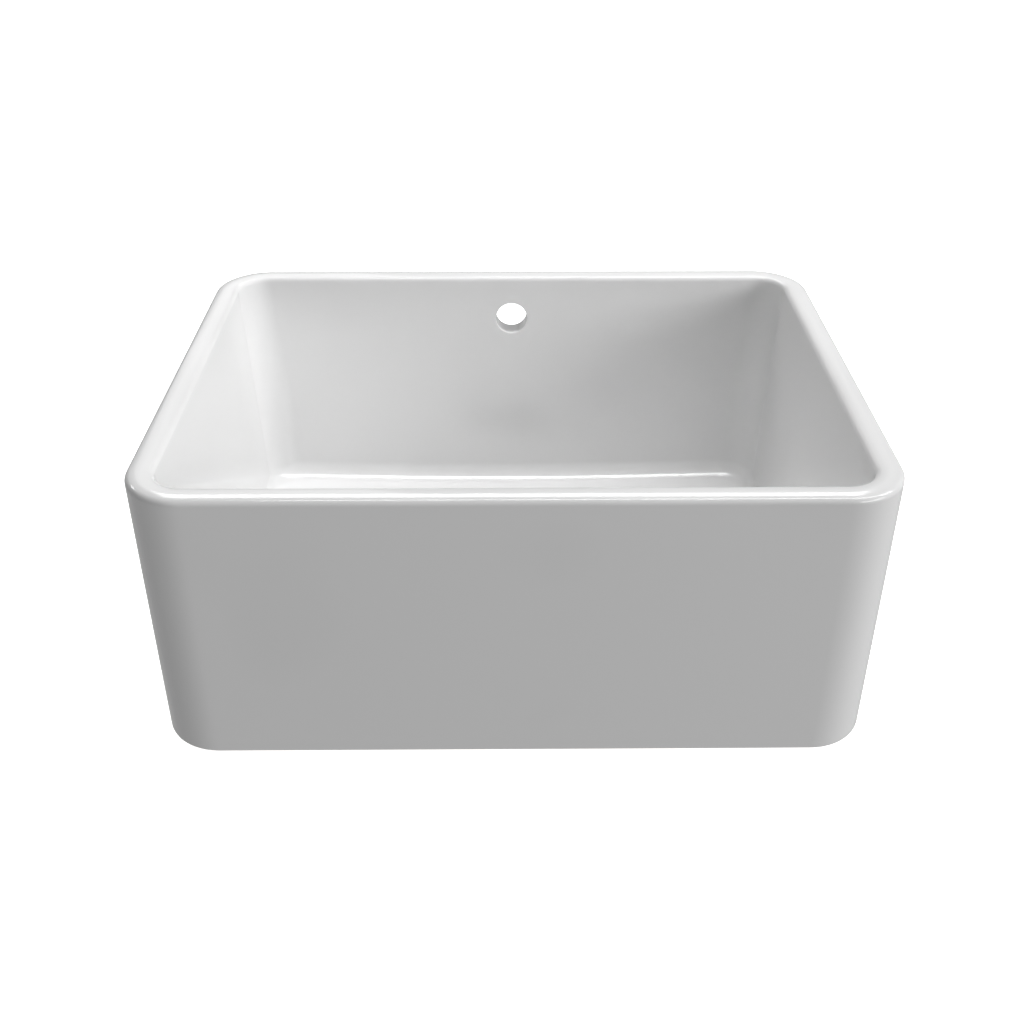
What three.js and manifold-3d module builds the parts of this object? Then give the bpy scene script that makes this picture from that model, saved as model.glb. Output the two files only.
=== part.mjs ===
// A farmhouse apron-front sink in glazed fireclay, with the basket strainer waste that closes its outlet.
// Millimetres, +Z up, -Y towards the room, +Y towards the wall. The origin is the centre of the sink's
// underside, so the waste hangs below z = 0.

import * as THREE from "three";
import { mergeVertices } from "three/addons/utils/BufferGeometryUtils.js";
import Module from "manifold-3d";

const wasm = await Module();
wasm.setup();

// ---- Driving dimensions: the casting ---------------------------------------------------------------

const SINK_WIDTH = 595;
const SINK_DEPTH = 454;
const SINK_HEIGHT = 247;
const WALL = 22; // at the rim
const WALL_DRAFT = 13; // how far each inner wall draws in, from the rim to the cove
const OUTER_CORNER = 50; // upright outer corners, in plan
const FLOOR_CORNER = 33; // upright inner corners, in plan, where they reach the cove
const RIM_ROUNDING = 5; // both edges of the rim
const RIM_CROWN = 8; // degrees that the rim's top slopes where its rounded edges begin
const FOOT_ROUNDING = 2.5;
const COVE = 18; // between the walls and the floor
const BASE_AT_WASTE = 15; // thickness of the floor where the rebate is cut
const FLOOR_SLOPE = 0.033; // fall of the floor towards the waste

const OVERFLOW_BORE = 32;
const OVERFLOW_BELOW_RIM = 44;
const OVERFLOW_EDGE = 1.2; // softened edge at both faces

const WASTE_BORE = 90;
const REBATE_LEDGE = 14; // width of the ledge that the flange sits on
const REBATE_DEPTH = 3.6;

// ---- Driving dimensions: the waste -----------------------------------------------------------------

const SHEET = 1; // stainless steel of cup and basket
const CUP_CLEARANCE = 3; // between the cup and the bore of the casting
const CUP_DEPTH = 37; // from the flange's top to the cup's floor
const CUP_SHOULDER = 8; // round between the cup's wall and floor
const CUP_SLOTS = 8;
const CUP_SLOT_WIDTH = 5;
const CUP_SLOT_MARGIN = 1.8; // half of what is left between the slots and the bolt, and under the bung
const FLANGE_THICKNESS = 1.2;
const FLANGE_LIP = 3; // round that leads from the flange into the cup
const FLANGE_MARGIN = 2.5; // between the flange and the rebate's wall
const GASKET_THICKNESS = 1.7;
const GASKET_MARGIN = 0.5; // between the edges of gasket and flange
const SEAL_THICKNESS = 4;
const SEAL_MARGIN = 1; // between the edges of seal and clamping flange

const BODY_WALL = 3;
const BODY_MARGIN = 1; // between the inside of its bowl and the waste bore
const BODY_CONE = 0.6; // how far the bowl's cone drops for each millimetre it narrows
const BODY_CONE_DROP = 1; // how far the outside of the cone lies below the inside
const BODY_ROUND = 4; // inside the bowl, at both ends of the cone
const BODY_FLANGE = 4; // thickness
const BODY_FLANGE_OVERLAP = 12; // how far the clamping flange reaches past the waste bore
const GUSSETS = 8;
const GUSSET_THICKNESS = 2.6;
const GUSSET_HEIGHT = 14;
const SPIDER_ARMS = 3;
const ARM_THICKNESS = 4;
const BOSS_RADIUS = 13.5;
const BOSS_BELOW_CUP = 10;
const BOSS_FLOOR = 4; // under the insert
const BOLT_CLEARANCE = 1; // between the bolt and the boss
const INSERT_ACROSS_FLATS = 17;
const INSERT_HEIGHT = 12;
const OUTLET_OUTSIDE = 47.8; // a 1 1/2 inch pipe thread's outside diameter
const OUTLET_WALL = 3.9;
const OUTLET_LENGTH = 24;
const INLET_BELOW_SINK = 27;
const INLET_OUTSIDE = 24;
const INLET_REACH = 20; // how far the overflow inlet stands out of the body
const INLET_TO_CONE = 2; // wall left between the inlet and the cone
const CAP_WALL = 2.6;
const CAP_SKIRT = 11;
const CAP_NOTCHES = 12;
const NOTCH_RADIUS = 1.5;
const INLET_WASHER = 2;

const BOLT_DIAMETER = 10;
const BOLT_WALL = 1.3;
const BOLT_SHORT = 1; // how far its end stays above the bottom of the boss
const BOLT_HEAD = 18;
const BOLT_HEAD_HEIGHT = 3;
const BOLT_HEAD_ROUND = 1.2;
const BOLT_SLOT = 2.4;
const BOLT_WASHER = 1;

// ---- Driving dimensions: the basket ----------------------------------------------------------------

const STEM_CLEARANCE = 0.7; // between the stem and the bolt's bore
const STEM_BELOW_CUP = 12; // how far the spring end reaches past the cup's floor
const STEM_SPLIT = 1.2;
const STEM_TIP = 1; // how far the end is drawn in
const STEM_SWELLING = [3.5, 1.5]; // its height above the end, and its round
const STEM_WAIST = [7, 0.4]; // its height above the end, and how far it is drawn in
const STEM_SHOULDER = 9; // height above the end where the plain rod begins
const BUNG_MARGIN = 3; // between the bung's edge and the round of the cup's shoulder
const BUNG_THICKNESS = 3.4;
const BUNG_RECESS = 5; // between the bolt's head and the hollow's wall
const BUNG_SKIRT = 5; // width of the skirt's foot
const BUNG_LIP = [4, 1.5]; // height of the skirt's edge, and how far it leans in
const BUNG_ROUND = 0.8; // both edges of the skirt's foot
const BUNG_SHOULDER = [2, 3]; // past the backing washer, and its round
const BACKING_DIAMETER = 30;
const STEM_NUT_ACROSS_FLATS = 10;
const STEM_NUT_HEIGHT = 2.6;
const STEM_NUT_CLEARANCE = 1; // between the nut and the bolt's head, which the bung stands over
const BASKET_TOP_GAP = 3; // between the basket's wall and the cup's, at the top
const BASKET_TAPER = 3; // how far the basket's wall draws in
const BASKET_BELOW_FLANGE = 3.4;
const BASKET_BEAD = 2.4; // diameter of its rolled rim
const BEAD_FULLNESS = 0.45; // round of each of its edges, as a share of that diameter
const BASKET_ROUND = 4; // between its wall and floor, inside
const WALL_SLOTS = 16;
const WALL_SLOT_SPAN = [0.35, 0.75]; // from and to, as shares of the wall's height
const FLOOR_SLOTS = 10;
const FLOOR_SLOT_MARGIN = [3, 6]; // past the knob's foot, and short of the wall
const BASKET_SLOT_WIDTH = 3.4;
const KNOB_HEIGHT = 22;
const KNOB_HEAD = 8; // height of its head, above the neck
const KNOB_DIAMETER = 24;
const KNOB_NECK = 10.8;
const KNOB_FOOT = [16, 2, 1]; // diameter, height of its edge, and that edge's round
const KNOB_FLARE = [4, 2, 3]; // where the neck begins, and the rounds at its foot and head
const KNOB_RIM = [5, 1.6]; // how far the widest point lies below the top, and its round
const KNOB_TOP = [1.5, 1, 2]; // how far the top's edge lies in and down, and its round

// ---- Clearances and facets -------------------------------------------------------------------------

const GAP = 0.3; // between faces that bear on each other
const RUNNING = 0.4; // radial, where a piece passes through another
const CORNER_STEPS = 8; // facets in each upright corner of the casting
const SIDE_STEPS = 4; // facets along each of its straight sides
const EDGE_STEPS = 4; // facets in each round of its section
const FILLET_STEPS = 2; // facets in a fillet of any other piece
const SHOULDER_STEPS = 3; // and in the cup's shoulder
const NOTCH_FACETS = 6; // facets round the cutter of the cap's notches
const ROUND = 36; // facets round a large turned piece
const SMALL_ROUND = 20; // and round a small one
const CUT = 1; // how far a cutter passes the face that it opens
const FLAT = 0.01; // left between two rounds that would otherwise meet
const WELD = 1e-4; // vertices closer than this are one

// ---- Levels and radii that follow from them --------------------------------------------------------

const rebateRadius = WASTE_BORE / 2 + REBATE_LEDGE;
const ledge = BASE_AT_WASTE - REBATE_DEPTH;
const flangeUnderside = ledge + GASKET_THICKNESS + 2 * GAP;
const flangeTop = flangeUnderside + FLANGE_THICKNESS;
const cupInside = WASTE_BORE / 2 - CUP_CLEARANCE - SHEET;
const cupFloor = flangeTop - CUP_DEPTH;
const cupUnderside = cupFloor - SHEET;

const bodyTop = -(SEAL_THICKNESS + 2 * GAP);
const bodyInside = WASTE_BORE / 2 + BODY_MARGIN;
const bodyOutside = bodyInside + BODY_WALL;
const bossTop = cupUnderside - BOSS_BELOW_CUP;
const bossBottom = bossTop - INSERT_HEIGHT - BOSS_FLOOR;
const bodyShoulder = Math.min(-INLET_BELOW_SINK - INLET_OUTSIDE / 2 - INLET_TO_CONE, bossTop - BODY_ROUND);
const outletInside = OUTLET_OUTSIDE / 2 - OUTLET_WALL;
const bodyThroat = bodyShoulder - (bodyInside - outletInside) * BODY_CONE;
const outletEnd = bodyThroat - OUTLET_LENGTH;

const boltBore = BOLT_DIAMETER / 2 - BOLT_WALL;
const boltHeadBottom = cupFloor + BOLT_WASHER + 2 * GAP;
const boltHeadTop = boltHeadBottom + BOLT_HEAD_HEIGHT;
const bungRadius = cupInside - CUP_SHOULDER - BUNG_MARGIN;
const bungBottom = cupFloor + GAP;
const nutBottom = boltHeadTop + STEM_NUT_CLEARANCE;
const nutTop = nutBottom + STEM_NUT_HEIGHT;
const bungTop = nutTop + GAP + BUNG_THICKNESS;
const backingBottom = bungTop + GAP;
const basketUnderside = backingBottom + SHEET + GAP;
const basketFloor = basketUnderside + SHEET;
const basketTop = flangeTop - BASKET_BELOW_FLANGE;
const knobFoot = basketFloor + GAP;
const knobTop = knobFoot + KNOB_HEIGHT;
const stemTop = knobTop - KNOB_HEAD;

// ---- Profiles and solids ---------------------------------------------------------------------------

/** Points through corners [across, up, fillet, facets in the fillet], with each fillet as an arc. */
function filleted(corners) {
  const count = corners.length;
  const point = (i) => new THREE.Vector2(...corners[(i + count) % count].slice(0, 2));
  return corners.flatMap(([, , fillet = 0, steps = FILLET_STEPS], i) => {
    const here = point(i);
    if (fillet === 0) return [here];
    const back = point(i - 1).sub(here).normalize();
    const on = point(i + 1).sub(here).normalize();
    const half = Math.acos(THREE.MathUtils.clamp(back.dot(on), -1, 1)) / 2;
    const centre = back.clone().add(on).normalize().multiplyScalar(fillet / Math.sin(half)).add(here);
    const from = back.multiplyScalar(fillet / Math.tan(half)).add(here).sub(centre);
    const to = on.multiplyScalar(fillet / Math.tan(half)).add(here).sub(centre);
    const turn = Math.atan2(from.cross(to), from.dot(to));
    return Array.from({ length: steps + 1 }, (_, step) =>
      from.clone().rotateAround(new THREE.Vector2(), (turn * step) / steps).add(centre),
    );
  });
}

/** A closed geometry as a manifold solid, with its faces turned outwards. */
function solidOf(geometry) {
  const bare = new THREE.BufferGeometry();
  bare.setAttribute("position", geometry.getAttribute("position"));
  if (geometry.index) bare.setIndex(geometry.index);
  const merged = mergeVertices(bare, WELD);
  const positions = merged.getAttribute("position").array;
  const corners = [];
  let volume = 0;
  for (let i = 0; i < merged.index.count; i += 3) {
    const [a, b, c] = merged.index.array.slice(i, i + 3);
    if (a === b || b === c || c === a) continue;
    corners.push([a, b, c]);
    const [p, q, r] = [a, b, c].map((v) => new THREE.Vector3().fromArray(positions, 3 * v));
    volume += p.dot(q.cross(r));
  }
  const triVerts = Uint32Array.from(corners.flatMap(([a, b, c]) => (volume < 0 ? [a, c, b] : [a, b, c])));
  return new wasm.Manifold(new wasm.Mesh({ numProp: 3, vertProperties: positions, triVerts }));
}

/** The surface of a manifold solid as a geometry for a mesh. */
function geometryOf(solid) {
  const { vertProperties, triVerts } = solid.getMesh();
  const geometry = new THREE.BufferGeometry();
  geometry.setAttribute("position", new THREE.BufferAttribute(new Float32Array(vertProperties), 3));
  geometry.setIndex(new THREE.BufferAttribute(new Uint32Array(triVerts), 1));
  const faceted = geometry.toNonIndexed();
  faceted.computeVertexNormals();
  return faceted;
}

/** A ring turned about Z from a profile [radius, height, fillet] that stays off the axis. */
function ring(profile, facets = ROUND) {
  const points = filleted(profile);
  return solidOf(new THREE.LatheGeometry([...points, points[0]], facets).rotateX(Math.PI / 2));
}

/** A solid turned about Z from a profile whose first and last points lie on the axis. */
function turned(profile, facets = ROUND) {
  return solidOf(new THREE.LatheGeometry(filleted(profile), facets).rotateX(Math.PI / 2));
}

/** A flat outline [x, y] drawn out upwards from z. */
function prism(outline, z, height) {
  const shape = new THREE.Shape(filleted(outline));
  const form = new THREE.ExtrudeGeometry(shape, { depth: height, bevelEnabled: false });
  return solidOf(form.translate(0, 0, z));
}

/** An upright plate of an outline [radius, height], centred on the plane that stands at an angle to X. */
function fin(outline, thickness, angle) {
  const shape = new THREE.Shape(filleted(outline));
  const plate = new THREE.ExtrudeGeometry(shape, { depth: thickness, bevelEnabled: false });
  return solidOf(plate.translate(0, 0, -thickness / 2).rotateX(Math.PI / 2).rotateZ(angle));
}

/** A round cylinder on Z between two levels. */
function cylinder(radius, from, to, facets = ROUND) {
  const form = new THREE.CylinderGeometry(radius, radius, to - from, facets).rotateX(Math.PI / 2);
  return solidOf(form.translate(0, 0, (from + to) / 2));
}

/** A hexagonal prism on Z, by its width across flats. */
function hexagon(acrossFlats, from, to) {
  return cylinder(acrossFlats / 2 / Math.cos(Math.PI / 6), from, to, 6);
}

/** The same solid at equal angles round Z. */
function around(count, solid) {
  return Array.from({ length: count }, (_, i) => solid.rotate([0, 0, (360 * i) / count]));
}

/** A rectangle, as an outline, centred on the axis. */
function bar(length, width) {
  return [
    [-length / 2, -width / 2],
    [length / 2, -width / 2],
    [length / 2, width / 2],
    [-length / 2, width / 2],
  ];
}

/** A slot with round ends, as an outline, along X between two radii. */
function slotOutline(from, to, width) {
  const end = width / 2 - FLAT;
  return [
    [from, -width / 2, end],
    [to, -width / 2, end],
    [to, width / 2, end],
    [from, width / 2, end],
  ];
}

// ---- Finishes --------------------------------------------------------------------------------------

const glazedFireclay = new THREE.MeshStandardMaterial({ color: 0xf3f3f1, roughness: 0.08 });
const stainless = new THREE.MeshStandardMaterial({ color: 0xc8cacc, roughness: 0.25, metalness: 1 });
const brass = new THREE.MeshStandardMaterial({ color: 0xc9a256, roughness: 0.35, metalness: 1 });
const polypropylene = new THREE.MeshStandardMaterial({ color: 0xe9e9e6, roughness: 0.45 });
const rubber = new THREE.MeshStandardMaterial({ color: 0x1c1c1d, roughness: 0.8 });

function piece(name, solid, material) {
  const mesh = new THREE.Mesh(geometryOf(solid), material);
  mesh.name = name;
  return mesh;
}

// ---- The casting -----------------------------------------------------------------------------------

// The places round the plan where every section is taken: quarter turns at the corners, and the straight
// sides between them.
const stations = [0, 1, 2, 3].flatMap((quarter) => [
  ...Array.from({ length: CORNER_STEPS + 1 }, (_, i) => ({ quarter, turn: i / CORNER_STEPS, along: 0 })),
  ...Array.from({ length: SIDE_STEPS - 1 }, (_, i) => ({ quarter, turn: 1, along: (i + 1) / SIDE_STEPS })),
]);

/** The point of a rounded rectangle, inset from the sink's outside, that a station reaches. */
function planPoint({ quarter, turn, along }, inset, corner) {
  const atCorner = (q, t) => {
    const angle = ((q + t) * Math.PI) / 2;
    const middle = ((q + 0.5) * Math.PI) / 2;
    return new THREE.Vector2(
      Math.sign(Math.cos(middle)) * (SINK_WIDTH / 2 - inset - corner) + corner * Math.cos(angle),
      Math.sign(Math.sin(middle)) * (SINK_DEPTH / 2 - inset - corner) + corner * Math.sin(angle),
    );
  };
  return atCorner(quarter, turn).lerp(atCorner(quarter + 1, 0), along);
}

/** Evenly spaced angles, both ends included. */
function arc(from, to, steps) {
  return Array.from({ length: steps + 1 }, (_, i) => from + ((to - from) * i) / steps);
}

/**
 * The casting's section, from the foot, up the outside, over the rim and down to the bowl's floor. Each
 * entry gives the inset from the outside, the corner's radius there and the height, which varies with the
 * station below the cove's start because the floor falls to the waste.
 */
function castingSection() {
  const crown = THREE.MathUtils.degToRad(RIM_CROWN);
  const draft = Math.atan(WALL_DRAFT / (SINK_HEIGHT - COVE - BASE_AT_WASTE));
  const fall = Math.atan(FLOOR_SLOPE);
  const crownRadius = (WALL / 2 - RIM_ROUNDING + RIM_ROUNDING * Math.sin(crown)) / Math.sin(crown);
  const edgeLevel = SINK_HEIGHT - crownRadius * (1 - Math.cos(crown)) - RIM_ROUNDING * Math.cos(crown);
  const coveInset = WALL + WALL_DRAFT;
  const footInset = coveInset + COVE * (Math.cos(draft) - Math.sin(fall));
  const foot = (station) => {
    const reach = planPoint(station, footInset, FLOOR_CORNER - footInset + coveInset).length();
    return BASE_AT_WASTE + FLOOR_SLOPE * (reach - rebateRadius);
  };
  const outside = (inset, z) => ({ inset, corner: OUTER_CORNER - inset, height: () => z });
  const onCrown = (a) => {
    const drop = crownRadius * (1 - Math.cos(a));
    return outside(WALL / 2 + crownRadius * Math.sin(a), SINK_HEIGHT - drop);
  };
  return [
    ...arc(Math.PI / 2, 0, EDGE_STEPS / 2).map((a) =>
      outside(FOOT_ROUNDING * (1 - Math.cos(a)), FOOT_ROUNDING * (1 - Math.sin(a))),
    ),
    ...arc(0, Math.PI / 2 - crown, EDGE_STEPS).map((a) =>
      outside(RIM_ROUNDING * (1 - Math.cos(a)), edgeLevel + RIM_ROUNDING * Math.sin(a)),
    ),
    ...arc(-crown, crown, EDGE_STEPS / 2).slice(1, -1).map(onCrown),
    ...arc(crown, Math.PI / 2 - draft, EDGE_STEPS).map((a) =>
      outside(WALL - RIM_ROUNDING * (1 - Math.sin(a)), edgeLevel + RIM_ROUNDING * Math.cos(a)),
    ),
    ...arc(draft, Math.PI / 2 - fall, EDGE_STEPS + 2).map((a) => ({
      inset: coveInset + COVE * (Math.cos(draft) - Math.cos(a)),
      corner: FLOOR_CORNER - COVE * (Math.cos(draft) - Math.cos(a)),
      height: (station) => foot(station) + COVE * (Math.cos(fall) - Math.sin(a)),
    })),
  ];
}

/** The casting before its holes are cut: a skin over the section's rings, closed at foot and floor. */
function castingForm() {
  const rings = castingSection().map(({ inset, corner, height }) =>
    stations.map((station) => {
      const { x, y } = planPoint(station, inset, corner);
      return new THREE.Vector3(x, y, height(station));
    }),
  );
  const underside = new THREE.Vector3(0, 0, 0);
  const lowest = new THREE.Vector3(0, 0, BASE_AT_WASTE - FLOOR_SLOPE * rebateRadius);
  const corners = [];
  stations.forEach((_, i) => {
    const j = (i + 1) % stations.length;
    corners.push(underside, rings[0][j], rings[0][i]);
    corners.push(lowest, rings.at(-1)[i], rings.at(-1)[j]);
    rings.slice(1).forEach((upper, k) => {
      const lower = rings[k];
      corners.push(lower[i], lower[j], upper[j], lower[i], upper[j], upper[i]);
    });
  });
  return solidOf(new THREE.BufferGeometry().setFromPoints(corners));
}

/** The bore through the rear wall, with its softened edges, as a cutter. */
function overflowCutter() {
  const bore = OVERFLOW_BORE / 2;
  const level = SINK_HEIGHT - OVERFLOW_BELOW_RIM;
  const drawnIn = (WALL_DRAFT * OVERFLOW_BELOW_RIM) / (SINK_HEIGHT - COVE - BASE_AT_WASTE);
  const outer = SINK_DEPTH / 2;
  const inner = outer - WALL - drawnIn;
  const mouth = bore + OVERFLOW_EDGE;
  const cutter = turned(
    [
      [0, inner - 2 * OVERFLOW_EDGE],
      [mouth + 2 * OVERFLOW_EDGE, inner - 2 * OVERFLOW_EDGE],
      [bore, inner + OVERFLOW_EDGE],
      [bore, outer - OVERFLOW_EDGE],
      [mouth + CUT, outer + CUT],
      [0, outer + CUT],
    ],
    SMALL_ROUND,
  );
  return cutter.rotate([-90, 0, 0]).translate([0, 0, level]);
}

const sinkBody = castingForm()
  .subtract(cylinder(WASTE_BORE / 2, -CUT, BASE_AT_WASTE + CUT))
  .subtract(cylinder(rebateRadius, ledge, BASE_AT_WASTE + COVE))
  .subtract(overflowCutter());

// ---- The waste: what is clamped to the casting -----------------------------------------------------

const flangeRadius = rebateRadius - FLANGE_MARGIN;

/** A flat ring between two radii, standing on a level. */
function washer(inside, outside, level, thickness, facets = SMALL_ROUND) {
  const section = [
    [inside, level],
    [outside, level],
    [outside, level + thickness],
    [inside, level + thickness],
  ];
  return ring(section, facets);
}

const flangeGasket = washer(
  WASTE_BORE / 2 + GASKET_MARGIN,
  flangeRadius - GASKET_MARGIN,
  ledge + GAP,
  GASKET_THICKNESS,
  ROUND,
);

/** The pressed flange and cup, whose slots let the water through when the bung is up. */
function strainerCup() {
  const cupOutside = cupInside + SHEET;
  const boltHole = BOLT_DIAMETER / 2 + RUNNING;
  const shell = ring([
    [boltHole, cupUnderside],
    [cupOutside, cupUnderside, CUP_SHOULDER + SHEET, SHOULDER_STEPS],
    [cupOutside, flangeUnderside, FLANGE_LIP - SHEET],
    [flangeRadius, flangeUnderside],
    [flangeRadius, flangeTop, FLANGE_THICKNESS / 2],
    [cupInside, flangeTop, FLANGE_LIP],
    [cupInside, cupFloor, CUP_SHOULDER, SHOULDER_STEPS],
    [boltHole, cupFloor],
  ]);
  const inner = BOLT_HEAD / 2 + 2 * CUP_SLOT_MARGIN;
  const outer = bungRadius - 2 * CUP_SLOT_MARGIN;
  const slot = prism(slotOutline(inner, outer, CUP_SLOT_WIDTH), cupUnderside - CUT, SHEET + 2 * CUT);
  return around(CUP_SLOTS, slot).reduce((cup, hole) => cup.subtract(hole), shell);
}

const flangeSeat = WASTE_BORE / 2 + BODY_FLANGE_OVERLAP;
const sealRadius = flangeSeat - SEAL_MARGIN;

const undersideSeal = ring([
  [bodyInside, -GAP - SEAL_THICKNESS],
  [sealRadius, -GAP - SEAL_THICKNESS],
  [sealRadius, -GAP, SEAL_MARGIN],
  [bodyInside, -GAP],
]);

// The overflow inlet, its washer and its screw cap lie along +Y, towards the wall.
const inletFace = bodyOutside + INLET_REACH;
const capInside = INLET_OUTSIDE / 2 + GAP;
const capOutside = capInside + CAP_WALL;
const towardsWall = (solid) => solid.rotate([-90, 0, 0]).translate([0, 0, -INLET_BELOW_SINK]);

/** The moulded body: clamping flange, bowl and outlet, with the spider and boss for the fixing bolt. */
function wasteBody() {
  const throatOutside = OUTLET_OUTSIDE / 2;
  const form = turned([
    [0, bodyTop],
    [flangeSeat, bodyTop],
    [flangeSeat, bodyTop - BODY_FLANGE],
    [bodyOutside, bodyTop - BODY_FLANGE, BODY_ROUND / 2],
    [bodyOutside, bodyShoulder - BODY_CONE_DROP, BODY_ROUND + BODY_WALL],
    [throatOutside, bodyThroat - BODY_CONE_DROP, BODY_ROUND],
    [throatOutside, outletEnd],
    [0, outletEnd],
  ]);
  const hollow = turned([
    [0, bodyTop + CUT],
    [bodyInside, bodyTop + CUT],
    [bodyInside, bodyShoulder, BODY_ROUND],
    [outletInside, bodyThroat, BODY_ROUND],
    [outletInside, outletEnd - CUT],
    [0, outletEnd - CUT],
  ]);
  const gussetTop = bodyTop - BODY_FLANGE / 2;
  const gusset = fin(
    [
      [bodyOutside - BODY_WALL / 2, gussetTop],
      [sealRadius, gussetTop],
      [sealRadius, bodyTop - BODY_FLANGE],
      [bodyOutside - BODY_WALL / 2, bodyTop - BODY_FLANGE - GUSSET_HEIGHT],
    ],
    GUSSET_THICKNESS,
    Math.PI / GUSSETS,
  );
  const armRoot = BOSS_RADIUS - ARM_THICKNESS / 2;
  const arm = fin(
    [
      [armRoot, bossTop],
      [bodyOutside, bossTop - ARM_THICKNESS / 2],
      [bodyOutside, bossBottom + ARM_THICKNESS / 2],
      [armRoot, bossBottom],
    ],
    ARM_THICKNESS,
    Math.PI / 2,
  ).intersect(form);
  const inletRoot = bodyOutside - BODY_WALL / 2;
  const inlet = towardsWall(cylinder(INLET_OUTSIDE / 2, inletRoot, inletFace, SMALL_ROUND));
  const boreRadius = INLET_OUTSIDE / 2 - BODY_WALL;
  const inletBore = towardsWall(cylinder(boreRadius, bodyInside - BODY_WALL, inletFace + CUT, SMALL_ROUND));
  let body = form.subtract(hollow).add(inlet).subtract(inletBore);
  around(GUSSETS, gusset).forEach((each) => (body = body.add(each)));
  around(SPIDER_ARMS, arm).forEach((each) => (body = body.add(each)));
  return body
    .add(cylinder(BOSS_RADIUS, bossBottom, bossTop, SMALL_ROUND))
    .subtract(hexagon(INSERT_ACROSS_FLATS + 2 * GAP, bossTop - INSERT_HEIGHT - GAP, bossTop + CUT))
    .subtract(cylinder(BOLT_DIAMETER / 2 + BOLT_CLEARANCE, bossBottom - CUT, bossTop, SMALL_ROUND));
}

const brassInsert = hexagon(INSERT_ACROSS_FLATS, bossTop - INSERT_HEIGHT, bossTop).subtract(
  cylinder(BOLT_DIAMETER / 2 + GAP, bossTop - INSERT_HEIGHT - CUT, bossTop + CUT, SMALL_ROUND),
);

const boltWasher = washer(
  BOLT_DIAMETER / 2 + RUNNING,
  BOLT_HEAD / 2 + BOLT_WASHER,
  cupFloor + GAP,
  BOLT_WASHER,
);

/** The hollow bolt that pulls the cup and the body together. Its bore holds the basket's stem. */
function fixingBolt() {
  const tip = bossBottom + BOLT_SHORT;
  const bolt = ring(
    [
      [boltBore, tip],
      [BOLT_DIAMETER / 2, tip],
      [BOLT_DIAMETER / 2, boltHeadBottom],
      [BOLT_HEAD / 2, boltHeadBottom],
      [BOLT_HEAD / 2, boltHeadTop, BOLT_HEAD_ROUND],
      [boltBore, boltHeadTop],
    ],
    SMALL_ROUND,
  );
  const slot = bar(BOLT_HEAD + 2 * CUT, BOLT_SLOT);
  return bolt.subtract(prism(slot, boltHeadTop - BOLT_HEAD_HEIGHT / 2, BOLT_HEAD_HEIGHT));
}

const inletWasher = towardsWall(
  cylinder(INLET_OUTSIDE / 2 - RUNNING, inletFace + GAP, inletFace + GAP + INLET_WASHER, SMALL_ROUND),
);

/** The screw cap, with grip notches round its skirt. */
function inletCap() {
  const seat = inletFace + INLET_WASHER + 2 * GAP;
  const end = seat + CAP_WALL;
  const cap = turned([
    [0, seat],
    [capInside, seat],
    [capInside, inletFace - CAP_SKIRT],
    [capOutside, inletFace - CAP_SKIRT],
    [capOutside, end, CAP_WALL / 2],
    [0, end],
  ]);
  const cutter = cylinder(NOTCH_RADIUS, inletFace - CAP_SKIRT - CUT, seat, NOTCH_FACETS);
  const notch = cutter.translate([capOutside + NOTCH_RADIUS / 3, 0, 0]);
  return towardsWall(around(CAP_NOTCHES, notch).reduce((left, cut) => left.subtract(cut), cap));
}

// ---- The basket and its bung: what lifts out -------------------------------------------------------

const stemRadius = boltBore - STEM_CLEARANCE;
const stemBore = stemRadius + RUNNING;

/** The stem: its lower end is split and swells a little, so that it springs into the bolt. */
function basketStem() {
  const tip = cupFloor - STEM_BELOW_CUP;
  const [swellingLevel, swellingRound] = STEM_SWELLING;
  const [waistLevel, waist] = STEM_WAIST;
  const rod = turned(
    [
      [0, tip],
      [stemRadius - STEM_TIP, tip],
      [boltBore - GAP, tip + swellingLevel, swellingRound],
      [stemRadius - waist, tip + waistLevel],
      [stemRadius, tip + STEM_SHOULDER],
      [stemRadius, stemTop],
      [0, stemTop],
    ],
    SMALL_ROUND,
  );
  const split = prism(bar(4 * stemRadius, STEM_SPLIT), tip - CUT, STEM_BELOW_CUP);
  return rod.subtract(split);
}

const stemNut = hexagon(STEM_NUT_ACROSS_FLATS, nutBottom, nutTop).subtract(
  cylinder(stemBore, nutBottom - CUT, nutTop + CUT, SMALL_ROUND),
);

/** The rubber bung: a dome over the bolt's head whose skirt closes round the cup's slots. */
function stopperBung() {
  const [lipHeight, lipLean] = BUNG_LIP;
  const [shoulder, shoulderRound] = BUNG_SHOULDER;
  return ring([
    [stemBore, bungTop - BUNG_THICKNESS],
    [BOLT_HEAD / 2 + BUNG_RECESS, bungTop - BUNG_THICKNESS, shoulder],
    [bungRadius - BUNG_SKIRT, bungBottom, BUNG_ROUND],
    [bungRadius, bungBottom, BUNG_ROUND],
    [bungRadius - lipLean, bungBottom + lipHeight, BUNG_ROUND],
    [BACKING_DIAMETER / 2 + shoulder, bungTop, shoulderRound],
    [stemBore, bungTop],
  ]);
}

const backingWasher = washer(stemBore, BACKING_DIAMETER / 2, backingBottom, SHEET);

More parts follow.
